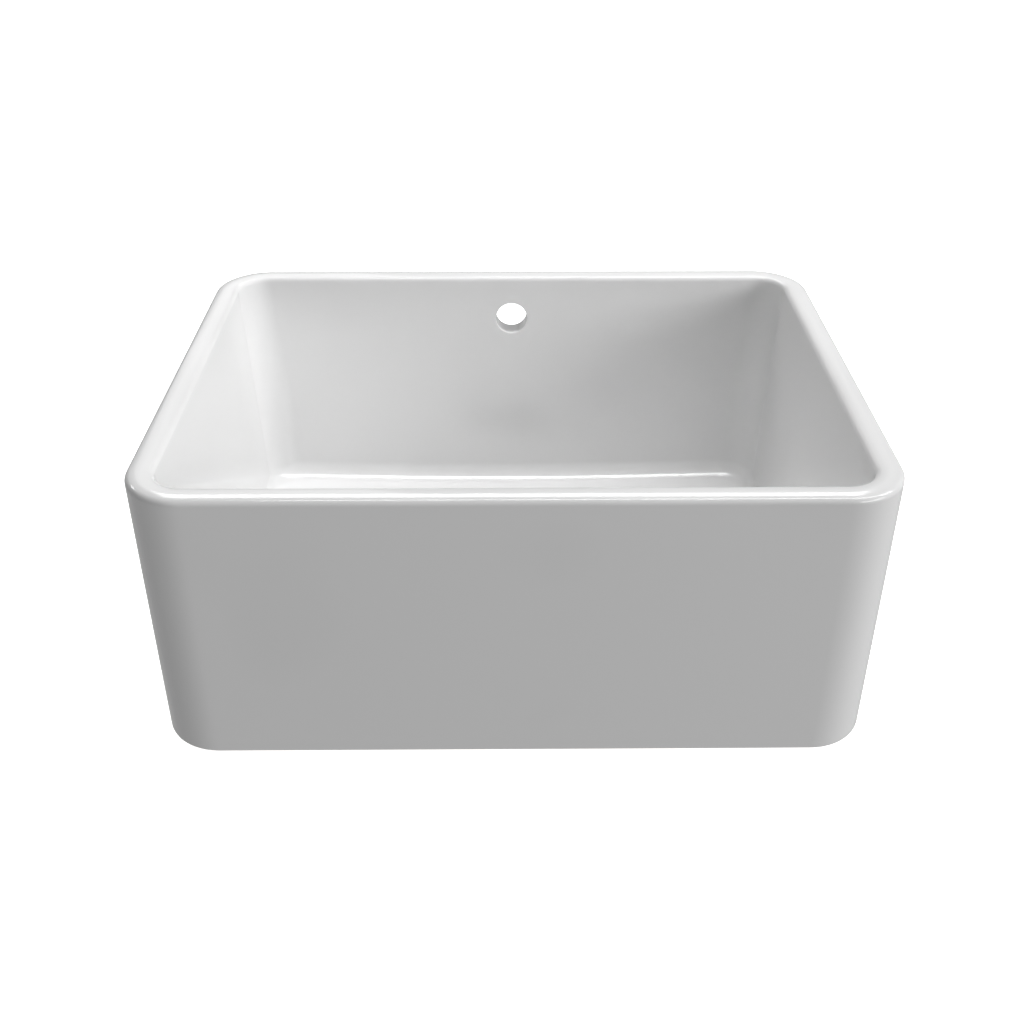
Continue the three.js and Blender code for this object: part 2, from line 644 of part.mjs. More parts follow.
/** The knob that lifts the basket, with the blind hole that the stem is screwed into. */
function basketKnob() {
  const [footDiameter, footEdge, footRound] = KNOB_FOOT;
  const [neckLevel, neckFootRound, neckHeadRound] = KNOB_FLARE;
  const [rimDrop, rimRound] = KNOB_RIM;
  const [topInset, topDrop, topRound] = KNOB_TOP;
  return turned(
    [
      [0, stemTop + GAP],
      [stemBore, stemTop + GAP],
      [stemBore, knobFoot],
      [footDiameter / 2, knobFoot],
      [footDiameter / 2, knobFoot + footEdge, footRound],
      [KNOB_NECK / 2, knobFoot + neckLevel, neckFootRound],
      [KNOB_NECK / 2, knobTop - KNOB_HEAD, neckHeadRound],
      [KNOB_DIAMETER / 2, knobTop - rimDrop, rimRound],
      [KNOB_DIAMETER / 2 - topInset, knobTop - topDrop, topRound],
      [0, knobTop],
    ],
    SMALL_ROUND,
  );
}

/** The basket: a pressed cup with a rolled rim, upright slots in its wall and spokes of them below. */
function basketCup() {
  const top = cupInside - BASKET_TOP_GAP - BASKET_BEAD;
  const bottom = top - BASKET_TAPER;
  const beadRound = BASKET_BEAD * BEAD_FULLNESS;
  const shell = ring([
    [stemBore, basketUnderside],
    [bottom + SHEET, basketUnderside, BASKET_ROUND + SHEET],
    [top + SHEET, basketTop - BASKET_BEAD],
    [top + BASKET_BEAD, basketTop - BASKET_BEAD, beadRound],
    [top + BASKET_BEAD, basketTop, beadRound],
    [top, basketTop, beadRound],
    [bottom, basketFloor, BASKET_ROUND],
    [stemBore, basketFloor],
  ]);
  const [slotFoot, slotHead] = WALL_SLOT_SPAN.map((share) =>
    THREE.MathUtils.lerp(basketUnderside, basketTop, share),
  );
  const wallSlot = prism(
    slotOutline(slotFoot, slotHead, BASKET_SLOT_WIDTH),
    bottom - BASKET_ROUND,
    BASKET_TAPER + 2 * BASKET_ROUND,
  );
  const outward = wallSlot.rotate([0, -90, 180]);
  const [pastKnob, shortOfWall] = FLOOR_SLOT_MARGIN;
  const floorSlot = prism(
    slotOutline(KNOB_FOOT[0] / 2 + pastKnob, bottom - shortOfWall, BASKET_SLOT_WIDTH),
    basketUnderside - CUT,
    SHEET + 2 * CUT,
  );
  const holes = [...around(WALL_SLOTS, outward), ...around(FLOOR_SLOTS, floorSlot)];
  return holes.reduce((basket, hole) => basket.subtract(hole), shell);
}

// ---- The assembly ----------------------------------------------------------------------------------

const waste = new THREE.Group();
waste.add(
  piece("flange_gasket", flangeGasket, rubber),
  piece("strainer_cup", strainerCup(), stainless),
  piece("underside_seal", undersideSeal, rubber),
  piece("waste_body", wasteBody(), polypropylene),
  piece("brass_insert", brassInsert, brass),
  piece("bolt_washer", boltWasher, rubber),
  piece("fixing_bolt", fixingBolt(), stainless),
  piece("inlet_washer", inletWasher, rubber),
  piece("inlet_cap", inletCap(), polypropylene),
);

const stopper = new THREE.Group();
stopper.add(
  piece("basket_stem", basketStem(), stainless),
  piece("stem_nut", stemNut, stainless),
  piece("stopper_bung", stopperBung(), rubber),
  piece("backing_washer", backingWasher, stainless),
  piece("basket_knob", basketKnob(), stainless),
  piece("basket_cup", basketCup(), stainless),
);

const sink = new THREE.Group();
sink.add(piece("sink_body", sinkBody, glazedFireclay), waste, stopper);

export default sink;
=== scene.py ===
"""An apron-front sink in glazed fireclay with its basket strainer waste, dressed, placed and lit.

Sizes are millimetres in the classes, as in the drawing of the part, and metres in every mesh. The origin is
the centre of the sink's underside, +Z is up, and the apron faces -Y.
"""

import logging
import math
from collections.abc import Sequence
from dataclasses import dataclass, fields, replace
from enum import Enum

import bmesh
import bpy
from mathutils import Matrix, Vector


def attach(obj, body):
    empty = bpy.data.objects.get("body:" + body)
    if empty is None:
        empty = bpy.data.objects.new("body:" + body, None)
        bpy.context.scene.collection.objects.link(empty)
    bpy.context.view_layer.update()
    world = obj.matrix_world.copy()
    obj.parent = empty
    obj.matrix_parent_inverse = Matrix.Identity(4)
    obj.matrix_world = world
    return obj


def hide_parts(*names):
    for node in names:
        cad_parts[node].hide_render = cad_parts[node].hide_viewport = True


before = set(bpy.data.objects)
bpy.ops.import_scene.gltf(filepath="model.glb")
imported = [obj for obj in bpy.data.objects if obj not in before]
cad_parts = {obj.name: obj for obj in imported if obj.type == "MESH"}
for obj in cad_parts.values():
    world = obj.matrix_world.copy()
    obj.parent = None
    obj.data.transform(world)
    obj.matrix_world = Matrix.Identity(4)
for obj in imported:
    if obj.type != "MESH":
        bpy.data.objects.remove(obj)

log = logging.getLogger("apron_sink")

MM = 0.001
HALF_TURN = math.pi
QUARTER_TURN = math.pi / 2
FULL_TURN = 2 * math.pi
OVER = 1.0  # mm that a cutter reaches past what it cuts
ROUND_END = 0.01  # mm left flat at the end of a round-ended slot
SEAM = 1e-6  # m within which a skin's edges are sewn
UNDERSIDE = 2e-5  # m below which the casting is bare clay
THREAD_STEPS = 72  # to a turn
RIDGE_FOOT = 0.42  # of the pitch
RIDGE_TIP = 0.1  # of the pitch
FACING = 0.9  # cosine above which a face looks the same way as the wall that it is in

Point = tuple[float, float]
Outline = Sequence[Sequence[float]]
Solid = bmesh.types.BMesh
Thing = bpy.types.Object
Tree = bpy.types.NodeTree
Node = bpy.types.Node
Socket = bpy.types.NodeSocket
Sockets = bpy.types.NodeOutputs
Vert = bmesh.types.BMVert

SUM = "ShaderNodeMath"
VECTOR_SUM = "ShaderNodeVectorMath"
NOISE = "ShaderNodeTexNoise"
RANGE = "ShaderNodeMapRange"


class Body(Enum):
    """What moves as one."""

    SINK = "sink"
    STOPPER = "stopper"
    BASKET = "basket"


class Cut(Enum):
    """What a boolean does with the second shape."""

    AWAY = "DIFFERENCE"
    ON = "UNION"
    WITHIN = "INTERSECT"


# ---- Nodes ------------------------------------------------------------------------------------------


def add(tree: Tree, kind: str, feed: dict | Sequence = (), **settings) -> Node:
    """Adds a node.

    Args:
        tree: where it goes.
        kind: Blender's name for it.
        feed: what its inputs get, by name or number, or from the first one on. Each is a value, a socket,
            or a node for its first output.
        settings: the node's own properties.

    Returns:
        The node.
    """
    node = tree.nodes.new(kind)
    for key, value in settings.items():
        setattr(node, key, value)
    for key, value in feed.items() if isinstance(feed, dict) else enumerate(feed):
        source = value.outputs[0] if isinstance(value, Node) else value
        if isinstance(source, Socket):
            tree.links.new(source, node.inputs[key])
        else:
            node.inputs[key].default_value = source
    return node


def linear(sheet: str) -> tuple[float, float, float, float]:
    """Turns an sRGB hex colour into the linear one that Blender's sockets take.

    Args:
        sheet: the colour, as #rrggbb.

    Returns:
        Red, green, blue and a full alpha.
    """
    parts = (int(sheet[i : i + 2], 16) / 255 for i in (1, 3, 5))
    red, green, blue = (c / 12.92 if c <= 0.04045 else ((c + 0.055) / 1.055) ** 2.4 for c in parts)
    return red, green, blue, 1.0


# ---- Finishes ---------------------------------------------------------------------------------------


def blend(tree: Tree, pattern: Node | Socket, ends: Point, first: str | Socket, second: str) -> Socket:
    """Passes from one colour to another as a pattern rises between two levels.

    Args:
        tree: where the nodes go.
        pattern: what is followed.
        ends: the pattern's levels for all of the first colour and all of the second.
        first: a hex colour, or the socket of one made before.
        second: a hex colour.

    Returns:
        The blended colour.
    """
    share = add(tree, RANGE, {"Value": pattern, "From Min": ends[0], "From Max": ends[1]})
    start = linear(first) if isinstance(first, str) else first
    return add(tree, "ShaderNodeMix", {0: share, 6: start, 7: linear(second)}, data_type="RGBA").outputs[2]


def relief(tree: Tree, place: Socket, size: float, height: float, detail: float, **under: Node) -> Node:
    """Raises a surface in small hills.

    Args:
        tree: where the nodes go.
        place: the point on the piece.
        size: millimetres from hill to hill.
        height: millimetres from foot to top.
        detail: how many finer layers lie on the hills.
        under: Normal, the relief that this one lies on, if there is one.

    Returns:
        The bump node.
    """
    hills = add(tree, NOISE, {"Vector": place, "Scale": 1 / (size * MM), "Detail": detail})
    return add(tree, "ShaderNodeBump", {"Height": hills, "Distance": height * MM, **under})


@dataclass(frozen=True)
class Finish:
    """What a surface is made of and how it was made: the base of every finish here."""

    name: str
    slot: str
    colour: str
    roughness: float
    ior: float = 1.5
    metallic: float = 0.0

    def detail(self, tree: Tree, place: Socket) -> dict[str, Node | Socket]:
        """Adds what the real surface shows, and says which of the shader's inputs it feeds."""
        return {}

    def material(self) -> bpy.types.Material:
        """Makes the material, or finds it if it is there.

        Returns:
            The material, with its shader and this finish's detail.
        """
        made = bpy.data.materials.get(self.name)
        if made:
            return made
        made = bpy.data.materials.new(self.name)
        made.use_nodes = True
        tree = made.node_tree
        tree.nodes.clear()
        feed = {"Base Color": linear(self.colour), "Roughness": self.roughness, "Metallic": self.metallic}
        if not self.metallic:
            feed["IOR"] = self.ior
        feed |= self.detail(tree, add(tree, "ShaderNodeTexCoord").outputs["Object"])
        add(tree, "ShaderNodeOutputMaterial", {"Surface": add(tree, "ShaderNodeBsdfPrincipled", feed)})
        return made


@dataclass(frozen=True)
class GlazedFireclay(Finish):
    """White tin glaze on fireclay: a glassy skin that is never quite flat and draws thin over the edges."""

    thin: str = "#ebebeb"
    thinning: Point = (0.62, 1.15)  # edge and drift together, where thinning begins and where it is full
    drift: float = 130.0  # mm, along an edge
    drift_share: float = 0.55
    wave: float = 60.0  # mm from crest to crest, from drying and firing
    wave_height: float = 0.008
    peel: float = 3.5  # mm, the orange peel of a sprayed glaze
    peel_height: float = 0.0012

    def detail(self, tree: Tree, place: Socket) -> dict[str, Node | Socket]:
        """Adds the glaze's slow waves, its orange peel and the duller colour where it is thin.

        Args:
            tree: where the nodes go.
            place: the point on the piece.

        Returns:
            What feeds which of the shader's inputs.
        """
        edge = add(tree, "ShaderNodeAttribute", attribute_name="glaze_edge").outputs["Fac"]
        drift = add(tree, NOISE, {"Vector": place, "Scale": 1 / (self.drift * MM), "Detail": 1.0})
        thinness = add(tree, SUM, [edge, self.drift_share, drift], operation="MULTIPLY_ADD")
        waves = relief(tree, place, self.wave, self.wave_height, 0.0)
        return {
            "Base Color": blend(tree, thinness, self.thinning, self.colour, self.thin),
            "Normal": relief(tree, place, self.peel, self.peel_height, 0.5, Normal=waves),
        }


@dataclass(frozen=True)
class BareFireclay(Finish):
    """The same clay where no glaze was laid: a dry, cream biscuit with sand in it."""

    dark: str = "#b9a88c"
    speck: str = "#8e7557"
    patch: float = 70.0  # mm
    darkening: Point = (0.35, 0.75)  # of the patches' pattern, where dark clay begins and where it is full
    grog: float = 4.0  # mm, the crushed brick in the clay
    specks: Point = (0.16, 0.1)  # in the same way, from a grain's edge to its middle
    grit: float = 0.9  # mm
    grit_height: float = 0.12

    def detail(self, tree: Tree, place: Socket) -> dict[str, Node | Socket]:
        """Adds the clay's patches, its grog and its dry grain.

        Args:
            tree: where the nodes go.
            place: the point on the piece.

        Returns:
            What feeds which of the shader's inputs.
        """
        spread = {"Vector": place, "Scale": 1 / (self.patch * MM), "Detail": 5.0, "Roughness": 0.6}
        clay = blend(tree, add(tree, NOISE, spread), self.darkening, self.colour, self.dark)
        grog = add(tree, "ShaderNodeTexVoronoi", {"Vector": place, "Scale": 1 / (self.grog * MM)})
        return {
            "Base Color": blend(tree, grog, self.specks, clay, self.speck),
            "Normal": relief(tree, place, self.grit, self.grit_height, 3.0),
        }


@dataclass(frozen=True)
class TurnedMetal(Finish):
    """Metal that was spun or turned and polished: fine rings round the axis that pull the highlights out."""

    ring: float = 0.5  # mm from one line to the next, coarser than the real 0.05 so that it shows
    depth: float = 0.0008
    rub: float = 9.0  # mm, patches from handling
    spread: float = 0.12  # how much the roughness changes from ring to ring
    dulling: Point = (0.1, 0.4)  # of rings and rub together, where dulling begins and where it is full

    def detail(self, tree: Tree, place: Socket) -> dict[str, Node | Socket]:
        """Adds the rings, as a pattern on the distance from the axis and the height together.

        Args:
            tree: where the nodes go.
            place: the point on the piece.

        Returns:
            What feeds which of the shader's inputs.
        """
        parts = add(tree, "ShaderNodeSeparateXYZ", [place]).outputs
        flat = add(tree, "ShaderNodeCombineXYZ", [parts["X"], parts["Y"]])
        reach = add(tree, VECTOR_SUM, [flat], operation="LENGTH").outputs["Value"]
        along = add(tree, SUM, [reach, parts["Z"]])
        turning = {"W": along, "Scale": 1 / (self.ring * MM), "Detail": 2.0}
        lines = add(tree, NOISE, turning, noise_dimensions="1D")
        rub = add(tree, NOISE, {"Vector": place, "Scale": 1 / (self.rub * MM), "Detail": 3.0})
        both = add(tree, SUM, [lines, rub], operation="MULTIPLY")
        low, high = self.roughness - self.spread / 2, self.roughness + self.spread / 2
        return {
            "Roughness": add(tree, RANGE, [both, *self.dulling, low, high]),
            "Normal": add(tree, "ShaderNodeBump", {"Height": lines, "Distance": self.depth * MM}),
        }


@dataclass(frozen=True)
class MouldedPlastic(Finish):
    """A plastic or rubber from a spark-eroded mould: a fine even grain, with slow patches where it flowed."""

    pale: str = "#f0eee8"
    flow: float = 28.0  # mm
    paling: Point = (0.35, 0.7)  # of the flow's pattern, where the pale colour begins and where it is full
    spread: float = 0.12  # how much the roughness changes along the flow
    grain: float = 0.6  # mm, coarser than the real 0.1 so that it shows
    depth: float = 0.012

    def detail(self, tree: Tree, place: Socket) -> dict[str, Node | Socket]:
        """Adds the flow's patches and the mould's grain.

        Args:
            tree: where the nodes go.
            place: the point on the piece.

        Returns:
            What feeds which of the shader's inputs.
        """
        flow = add(tree, NOISE, {"Vector": place, "Scale": 1 / (self.flow * MM), "Detail": 2.0})
        low, high = self.roughness - self.spread / 2, self.roughness + self.spread / 2
        return {
            "Base Color": blend(tree, flow, self.paling, self.colour, self.pale),
            "Roughness": add(tree, RANGE, {"Value": flow, "To Min": low, "To Max": high}),
            "Normal": relief(tree, place, self.grain, self.depth, 2.0),
        }


# Glossy white that mirrors the lights, over a cream body that shows only where it is bare.
GLAZE = GlazedFireclay("glazed_fireclay", "fireclay", "#f2f2f2", 0.1, ior=1.52)
BISCUIT = BareFireclay("bare_fireclay", "fireclay", "#d8cab0", 0.92)
# Bright but not mirror-like: highlights are drawn out across the turning marks.
STAINLESS = TurnedMetal("polished_stainless_steel", "stainless", "#c9cacb", 0.2, metallic=1.0)
BRASS = TurnedMetal("machined_brass", "brass", "#c49a4c", 0.28, metallic=1.0)
# Satin white plastic and dull black rubber, both soft in the light.
POLYPROPYLENE = MouldedPlastic("moulded_polypropylene", "polypropylene", "#e4e2dc", 0.42, ior=1.49)
RUBBER = MouldedPlastic(
    "moulded_rubber", "rubber", "#1d1d1e", 0.62, ior=1.52, pale="#2b2b2c", grain=0.9, depth=0.02
)


# ---- Shapes -----------------------------------------------------------------------------------------


def arc(start: float, end: float, steps: int) -> list[float]:
    """Evenly spaced angles, both ends included."""
    return [start + (end - start) * i / steps for i in range(steps + 1)]


def filleted(corners: Outline, steps: int = 6) -> list[Point]:
    """Rounds the corners of an outline.

    Args:
        corners: [across, up] or [across, up, fillet] for each corner.
        steps: facets in each fillet.

    Returns:
        The outline's points, each fillet as an arc.
    """
    points: list[Point] = []
    for i, corner in enumerate(corners):
        here = Vector(corner[:2])
        fillet = corner[2] if len(corner) > 2 else 0.0
        if not fillet:
            points.append((here.x, here.y))
            continue
        back = (Vector(corners[i - 1][:2]) - here).normalized()
        on = (Vector(corners[(i + 1) % len(corners)][:2]) - here).normalized()
        half = math.acos(max(-1.0, min(1.0, back.dot(on)))) / 2
        centre = here + (back + on).normalized() * (fillet / math.sin(half))
        start, end = (here + way * (fillet / math.tan(half)) - centre for way in (back, on))
        turn = math.atan2(start.x * end.y - start.y * end.x, start.dot(end))
        for step in range(steps + 1):
            spot = centre + Matrix.Rotation(turn * step / steps, 2) @ start
            points.append((spot.x, spot.y))
    return points


def bridge(solid: Solid, lower: list[Vert], upper: list[Vert]) -> None:
    """Joins two rings of vertices with faces; either ring may be a single vertex, at a pole.

    Args:
        solid: where the faces go; it is changed.
        lower: the first ring.
        upper: the second ring.
    """
    count = max(len(lower), len(upper))
    for i in range(count):
        j = (i + 1) % count
        quad = [lower[i % len(lower)], lower[j % len(lower)], upper[j % len(upper)], upper[i % len(upper)]]
        face = list(dict.fromkeys(quad))
        if len(face) > 2:
            solid.faces.new(face)


def turned(profile: Outline, facets: int = 96, steps: int = 6) -> Solid:
    """Turns a profile about Z.

    Args:
        profile: [radius, height, fillet] corners; it starts and ends on the axis, or stays off it as a ring.
        facets: facets round the axis.
        steps: facets in each fillet.

    Returns:
        The closed solid, in metres.
    """
    solid = bmesh.new()
    spokes = [(math.cos(a), math.sin(a)) for a in arc(0, FULL_TURN, facets)[:-1]]
    rings: list[list[Vert]] = []
    for radius, height in filleted(profile, steps):
        round_it = spokes if radius > 1e-9 else [(0.0, 0.0)]
        rings.append([solid.verts.new((radius * x * MM, radius * y * MM, height * MM)) for x, y in round_it])
    pairs = list(zip(rings, rings[1:]))
    if len(rings[0]) > 1:
        pairs.append((rings[-1], rings[0]))
    for lower, upper in pairs:
        bridge(solid, lower, upper)
    bmesh.ops.recalc_face_normals(solid, faces=solid.faces)
    return solid


def rod(radius: float, low: float, high: float, facets: int, below: float = 0.0, above: float = 0.0) -> Solid:
    """An upright cylinder between two levels, whose edges may be rounded."""
    return turned([[0, low], [radius, low, below], [radius, high, above], [0, high]], facets)


def washer(inside: float, outside: float, level: float, thickness: float, soft: float = 0.2) -> Solid:
    """A flat ring with slightly rounded edges.

    Args:
        inside: radius of its hole.
        outside: its outer radius.
        level: height of its underside.
        thickness: how thick it is.
        soft: radius that its edges are rounded by.

    Returns:
        The closed solid, in metres.
    """
    top = level + thickness
    corners = [[inside, level, soft], [outside, level, soft], [outside, top, soft], [inside, top, soft]]
    return turned(corners, steps=3)


def prism(outline: Outline, start: float, end: float, steps: int = 6) -> Solid:
    """Draws a flat outline out along Z.

    Args:
        outline: [x, y, fillet] corners.
        start: the first level.
        end: the second level.
        steps: facets in each fillet.

    Returns:
        The closed solid, in metres.
    """
    points = filleted(outline, steps)
    solid = bmesh.new()
    low, high = ([solid.verts.new((x * MM, y * MM, z * MM)) for x, y in points] for z in (start, end))
    solid.faces.new(low)
    solid.faces.new(high)
    bridge(solid, low, high)
    bmesh.ops.recalc_face_normals(solid, faces=solid.faces)
    return solid


def bar(start: float, end: float, width: float, fillet: float = 0.0) -> list[list[float]]:
    """A rectangle as an outline, from one distance to another along X."""
    return [[x, side * width / 2, fillet] for x, side in ((start, -1), (end, -1), (end, 1), (start, 1))]


def hexagon(across: float, fillet: float = 0.0) -> list[list[float]]:
    """A hexagon as an outline, by its width across flats."""
    reach = across / 2 / math.cos(math.pi / 6)
    return [[reach * math.sin(a), reach * math.cos(a), fillet] for a in arc(FULL_TURN, 0, 6)[:-1]]


def moved(solid: Solid, *steps: Matrix) -> Solid:
    """Moves a solid.

    Args:
        solid: the solid; it is changed.
        steps: the moves, one after the other.

    Returns:
        The solid.
    """
    for step in steps:
        bmesh.ops.transform(solid, matrix=step, verts=solid.verts)
    return solid


def shift(x: float = 0.0, z: float = 0.0) -> Matrix:
    """A move, in millimetres."""
    return Matrix.Translation((x * MM, 0, z * MM))


def quarter(axis: str, turns: int = 1) -> Matrix:
    """A number of quarter turns about an axis."""
    return Matrix.Rotation(turns * QUARTER_TURN, 4, axis)


# ---- Pieces -----------------------------------------------------------------------------------------


def piece(name: str, shape: Solid | Thing) -> Thing:
    """Makes an object of a solid, at the origin, and lets the solid go; an object stays as it is.

    Args:
        name: what a new object is called.
        shape: the solid, or an object.

    Returns:
        The object.
    """
    if isinstance(shape, Thing):
        return shape
    mesh = bpy.data.meshes.new(name)
    shape.to_mesh(mesh)
    shape.free()
    made = bpy.data.objects.new(name, mesh)
    bpy.context.scene.collection.objects.link(made)
    return made


def settle(made: Thing) -> Thing:
    """Turns what the modifiers show into the object's plain mesh and removes them.

    Args:
        made: the object; it is changed.

    Returns:
        The object.
    """
    seen = made.evaluated_get(bpy.context.evaluated_depsgraph_get())
    mesh = bpy.data.meshes.new_from_object(seen)
    made.modifiers.clear()
    old, made.data = made.data, mesh
    bpy.data.meshes.remove(old)
    return made


def combine(shape: Solid | Thing, other: Solid | Thing, cut: Cut) -> Thing:
    """Cuts another shape away from a shape, or puts it on, and lets the other go.

    Args:
        shape: what stays.
        other: the shape that is used up.
        cut: what to do with it.

    Returns:
        The shape that stays, as an object.
    """
    made, tool = piece("work", shape), piece("tool", other)
    work = made.modifiers.new("cut", "BOOLEAN")
    work.object, work.operation, work.solver = tool, cut.value, "EXACT"
    settle(made)
    spent = tool.data
    bpy.data.objects.remove(tool)
    bpy.data.meshes.remove(spent)
    return made


def dress(mesh: bpy.types.Mesh, finish: Finish) -> None:
    """Gives a finish to every face that has none yet, such as what a cut has opened.

    Args:
        mesh: the piece's mesh; it is changed.
        finish: what the piece is made of.
    """
    own = finish.material()
    before = list(mesh.materials) or [None]
    palette = list(dict.fromkeys([*filter(None, before), own]))
    wanted = [palette.index(before[face.material_index] or own) for face in mesh.polygons]
    mesh.materials.clear()
    for material in palette:
        mesh.materials.append(material)
    mesh.polygons.foreach_set("material_index", wanted)


def finished(shape: Solid | Thing, finish: Finish, body: Body, node: str, crease: float = 38.0) -> None:
    """Smooths a piece, keeps its creases, dresses it, ties it to its body and hides the CAD node that it
    stands for.

    Args:
        shape: the piece.
        finish: what it is made of.
        body: what it moves with.
        node: the CAD node that it stands for.
        crease: degrees between two faces above which their edge stays sharp.
    """
    made = piece(node, shape)
    solid = bmesh.new()
    solid.from_mesh(made.data)
    bmesh.ops.remove_doubles(solid, verts=solid.verts, dist=1e-7)
    bmesh.ops.recalc_face_normals(solid, faces=solid.faces)
    for face in solid.faces:
        face.smooth = True
    for edge in solid.edges:
        edge.smooth = edge.calc_face_angle(0.0) < math.radians(crease)
    solid.to_mesh(made.data)
    solid.free()
    dress(made.data, finish)
    level = made.modifiers.new("flat_faces_stay_flat", "WEIGHTED_NORMAL")
    level.keep_sharp = True
    made.name = f"{node}_finished"
    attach(made, body.value)
    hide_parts(node)
    log.info("%s: %d faces, %s, rides on %s", node, len(made.data.polygons), finish.name, body.value)


# ---- Geometry Nodes ---------------------------------------------------------------------------------

SOCKETS = {float: "NodeSocketFloat", int: "NodeSocketInt", bpy.types.Material: "NodeSocketMaterial"}


def shape_tree(name: str, sizes: dict[str, type]) -> tuple[Tree, Sockets]:
    """Starts a geometry tree with a named input for each size.

    Args:
        name: the tree's name.
        sizes: each input's name and type.

    Returns:
        The tree, and what is given to it: a shape as Geometry, and the sizes.
    """
    tree = bpy.data.node_groups.new(name, "GeometryNodeTree")
    for way in ("INPUT", "OUTPUT"):
        tree.interface.new_socket("Geometry", in_out=way, socket_type="NodeSocketGeometry")
    for size, kind in sizes.items():
        tree.interface.new_socket(size, in_out="INPUT", socket_type=SOCKETS[kind])
    return tree, add(tree, "NodeGroupInput").outputs


def close_tree(tree: Tree, shape: Node, material: Socket) -> None:
    """Ends a geometry tree: the shape is made real, dressed and handed out.

    Args:
        tree: the tree.
        shape: what it has made.
        material: what that is dressed in.
    """
    real = add(tree, "GeometryNodeRealizeInstances", [shape])
    dressed = add(tree, "GeometryNodeSetMaterial", {"Geometry": real, "Material": material})
    add(tree, "NodeGroupOutput", [dressed])


def grown(made: Thing, tree: Tree, sizes: dict[str, object]) -> Thing:
    """Runs a geometry tree on an object and leaves the result as its plain mesh.

    Args:
        made: what the tree starts from; it is changed.
        tree: the tree.
        sizes: a value for each of the tree's inputs, by name.

    Returns:
        The object.
    """
    work = made.modifiers.new("shape", "NODES")
    work.node_group = tree
    for socket in tree.interface.items_tree:
        if socket.in_out == "INPUT" and socket.name in sizes:
            work[socket.identifier] = sizes[socket.name]
    return settle(made)


def ring_tree() -> Tree:
    """A tree that repeats a shape at equal angles round Z: slots, notches, gussets and arms.

    Returns:
        The tree, made once.
    """
    name = "repeated_round_the_axis"
    if name in bpy.data.node_groups:
        return bpy.data.node_groups[name]
    tree, given = shape_tree(name, {"Count": int, "First": float, "Material": bpy.types.Material})
    spots = add(tree, "GeometryNodePoints", {"Count": given["Count"]})
    step = add(tree, SUM, [FULL_TURN, given["Count"]], operation="DIVIDE")
    index = add(tree, "GeometryNodeInputIndex")
    angle = add(tree, SUM, [index, step, given["First"]], operation="MULTIPLY_ADD")
    turn = add(tree, "ShaderNodeCombineXYZ", {"Z": angle})
    repeat = {"Points": spots, "Instance": given["Geometry"], "Rotation": turn}
    close_tree(tree, add(tree, "GeometryNodeInstanceOnPoints", repeat), given["Material"])
    return tree


def round_axis(solid: Solid, count: int, finish: Finish, first: float = 0.0) -> Thing:
    """Repeats a solid round Z.

    Args:
        solid: the shape at angle zero.
        count: how many there are.
        finish: what they are made of.
        first: angle of the first, in radians.

    Returns:
        One object that holds them all.
    """
    sizes = {"Count": count, "First": first, "Material": finish.material()}
    return grown(piece("ring", solid), ring_tree(), sizes)


def thread_tree() -> Tree:
    """A tree that winds a screw thread round Z.

    Returns:
        The tree. Its ridge is a flat-topped triangle, half sunk into the core and capped at both ends.
    """
    sizes = dict.fromkeys(("Core", "Crest", "Pitch", "Turns", "Foot"), float)
    tree, given = shape_tree("screw_thread", sizes | {"Material": bpy.types.Material})
    rise = add(tree, SUM, [given["Pitch"], given["Turns"]], operation="MULTIPLY")
    spiral = [THREAD_STEPS, given["Turns"], given["Core"], given["Core"], rise]
    coil = add(tree, "GeometryNodeCurveSpiral", spiral)
    upright = add(tree, "GeometryNodeSetCurveNormal", [coil], mode="Z_UP")
    height = add(tree, SUM, [given["Crest"], given["Core"]], operation="SUBTRACT")
    foot = add(tree, SUM, [given["Pitch"], RIDGE_FOOT], operation="MULTIPLY")
    tip = add(tree, SUM, [given["Pitch"], RIDGE_TIP], operation="MULTIPLY")
    section = {"Height": height, "Bottom Width": foot, "Top Width": tip, "Offset": 0.0}
    ridge = add(tree, "GeometryNodeCurvePrimitiveQuadrilateral", section, mode="TRAPEZOID")
    path = {"Curve": upright, "Profile Curve": ridge, "Scale": 1.0, "Fill Caps": True}
    wound = add(tree, "GeometryNodeCurveToMesh", path)
    start = add(tree, "ShaderNodeCombineXYZ", {"Z": given["Foot"]})
    placed = add(tree, "GeometryNodeTransform", {"Geometry": wound, "Translation": start})
    close_tree(tree, placed, given["Material"])
    return tree


# ---- The casting ------------------------------------------------------------------------------------


@dataclass(frozen=True)
class Row:
    """One line round the casting, where its section has a point.

    The plan is a rounded rectangle of an inset and a corner, or a circle, or a share of both. The height is
    a level, plus shares of the floor's height at the cove's foot and of its height right here. The edge says
    how thin the glaze is drawn.
    """

    inset: float
    corner: float
    level: float
    foot: float = 0.0
    fall: float = 0.0
    round: float = 0.0
    radius: float = 0.0
    edge: float = 0.0


def hold(mesh: bpy.types.Mesh, name: str, values: Sequence[float] | Sequence[Vector]) -> None:
    """Stores a number or a vector for each vertex under a name.

    Args:
        mesh: the mesh; it is changed.
        name: what the values are called.
        values: one for each vertex.
    """
    vectors = isinstance(values[0], Vector)
    held = mesh.attributes.new(name, "FLOAT_VECTOR" if vectors else "FLOAT", "POINT")
    flat = [part for value in values for part in value] if vectors else values
    held.data.foreach_set("vector" if vectors else "value", flat)


def drawn(tree: Tree, shape: Socket, name: str, at: Node, kind: str = "FLOAT") -> Node:
    """What a vertex of a shape holds under a name.

    Args:
        tree: where the nodes go.
        shape: what holds it.
        name: what it is called.
        at: the vertex's number.
        kind: FLOAT or FLOAT_VECTOR.

    Returns:
        The node that gives it.
    """
    held = add(tree, "GeometryNodeInputNamedAttribute", [name], data_type=kind)
    feed = {"Geometry": shape, "Value": held, "Index": at}
    return add(tree, "GeometryNodeSampleIndex", feed, data_type=kind)


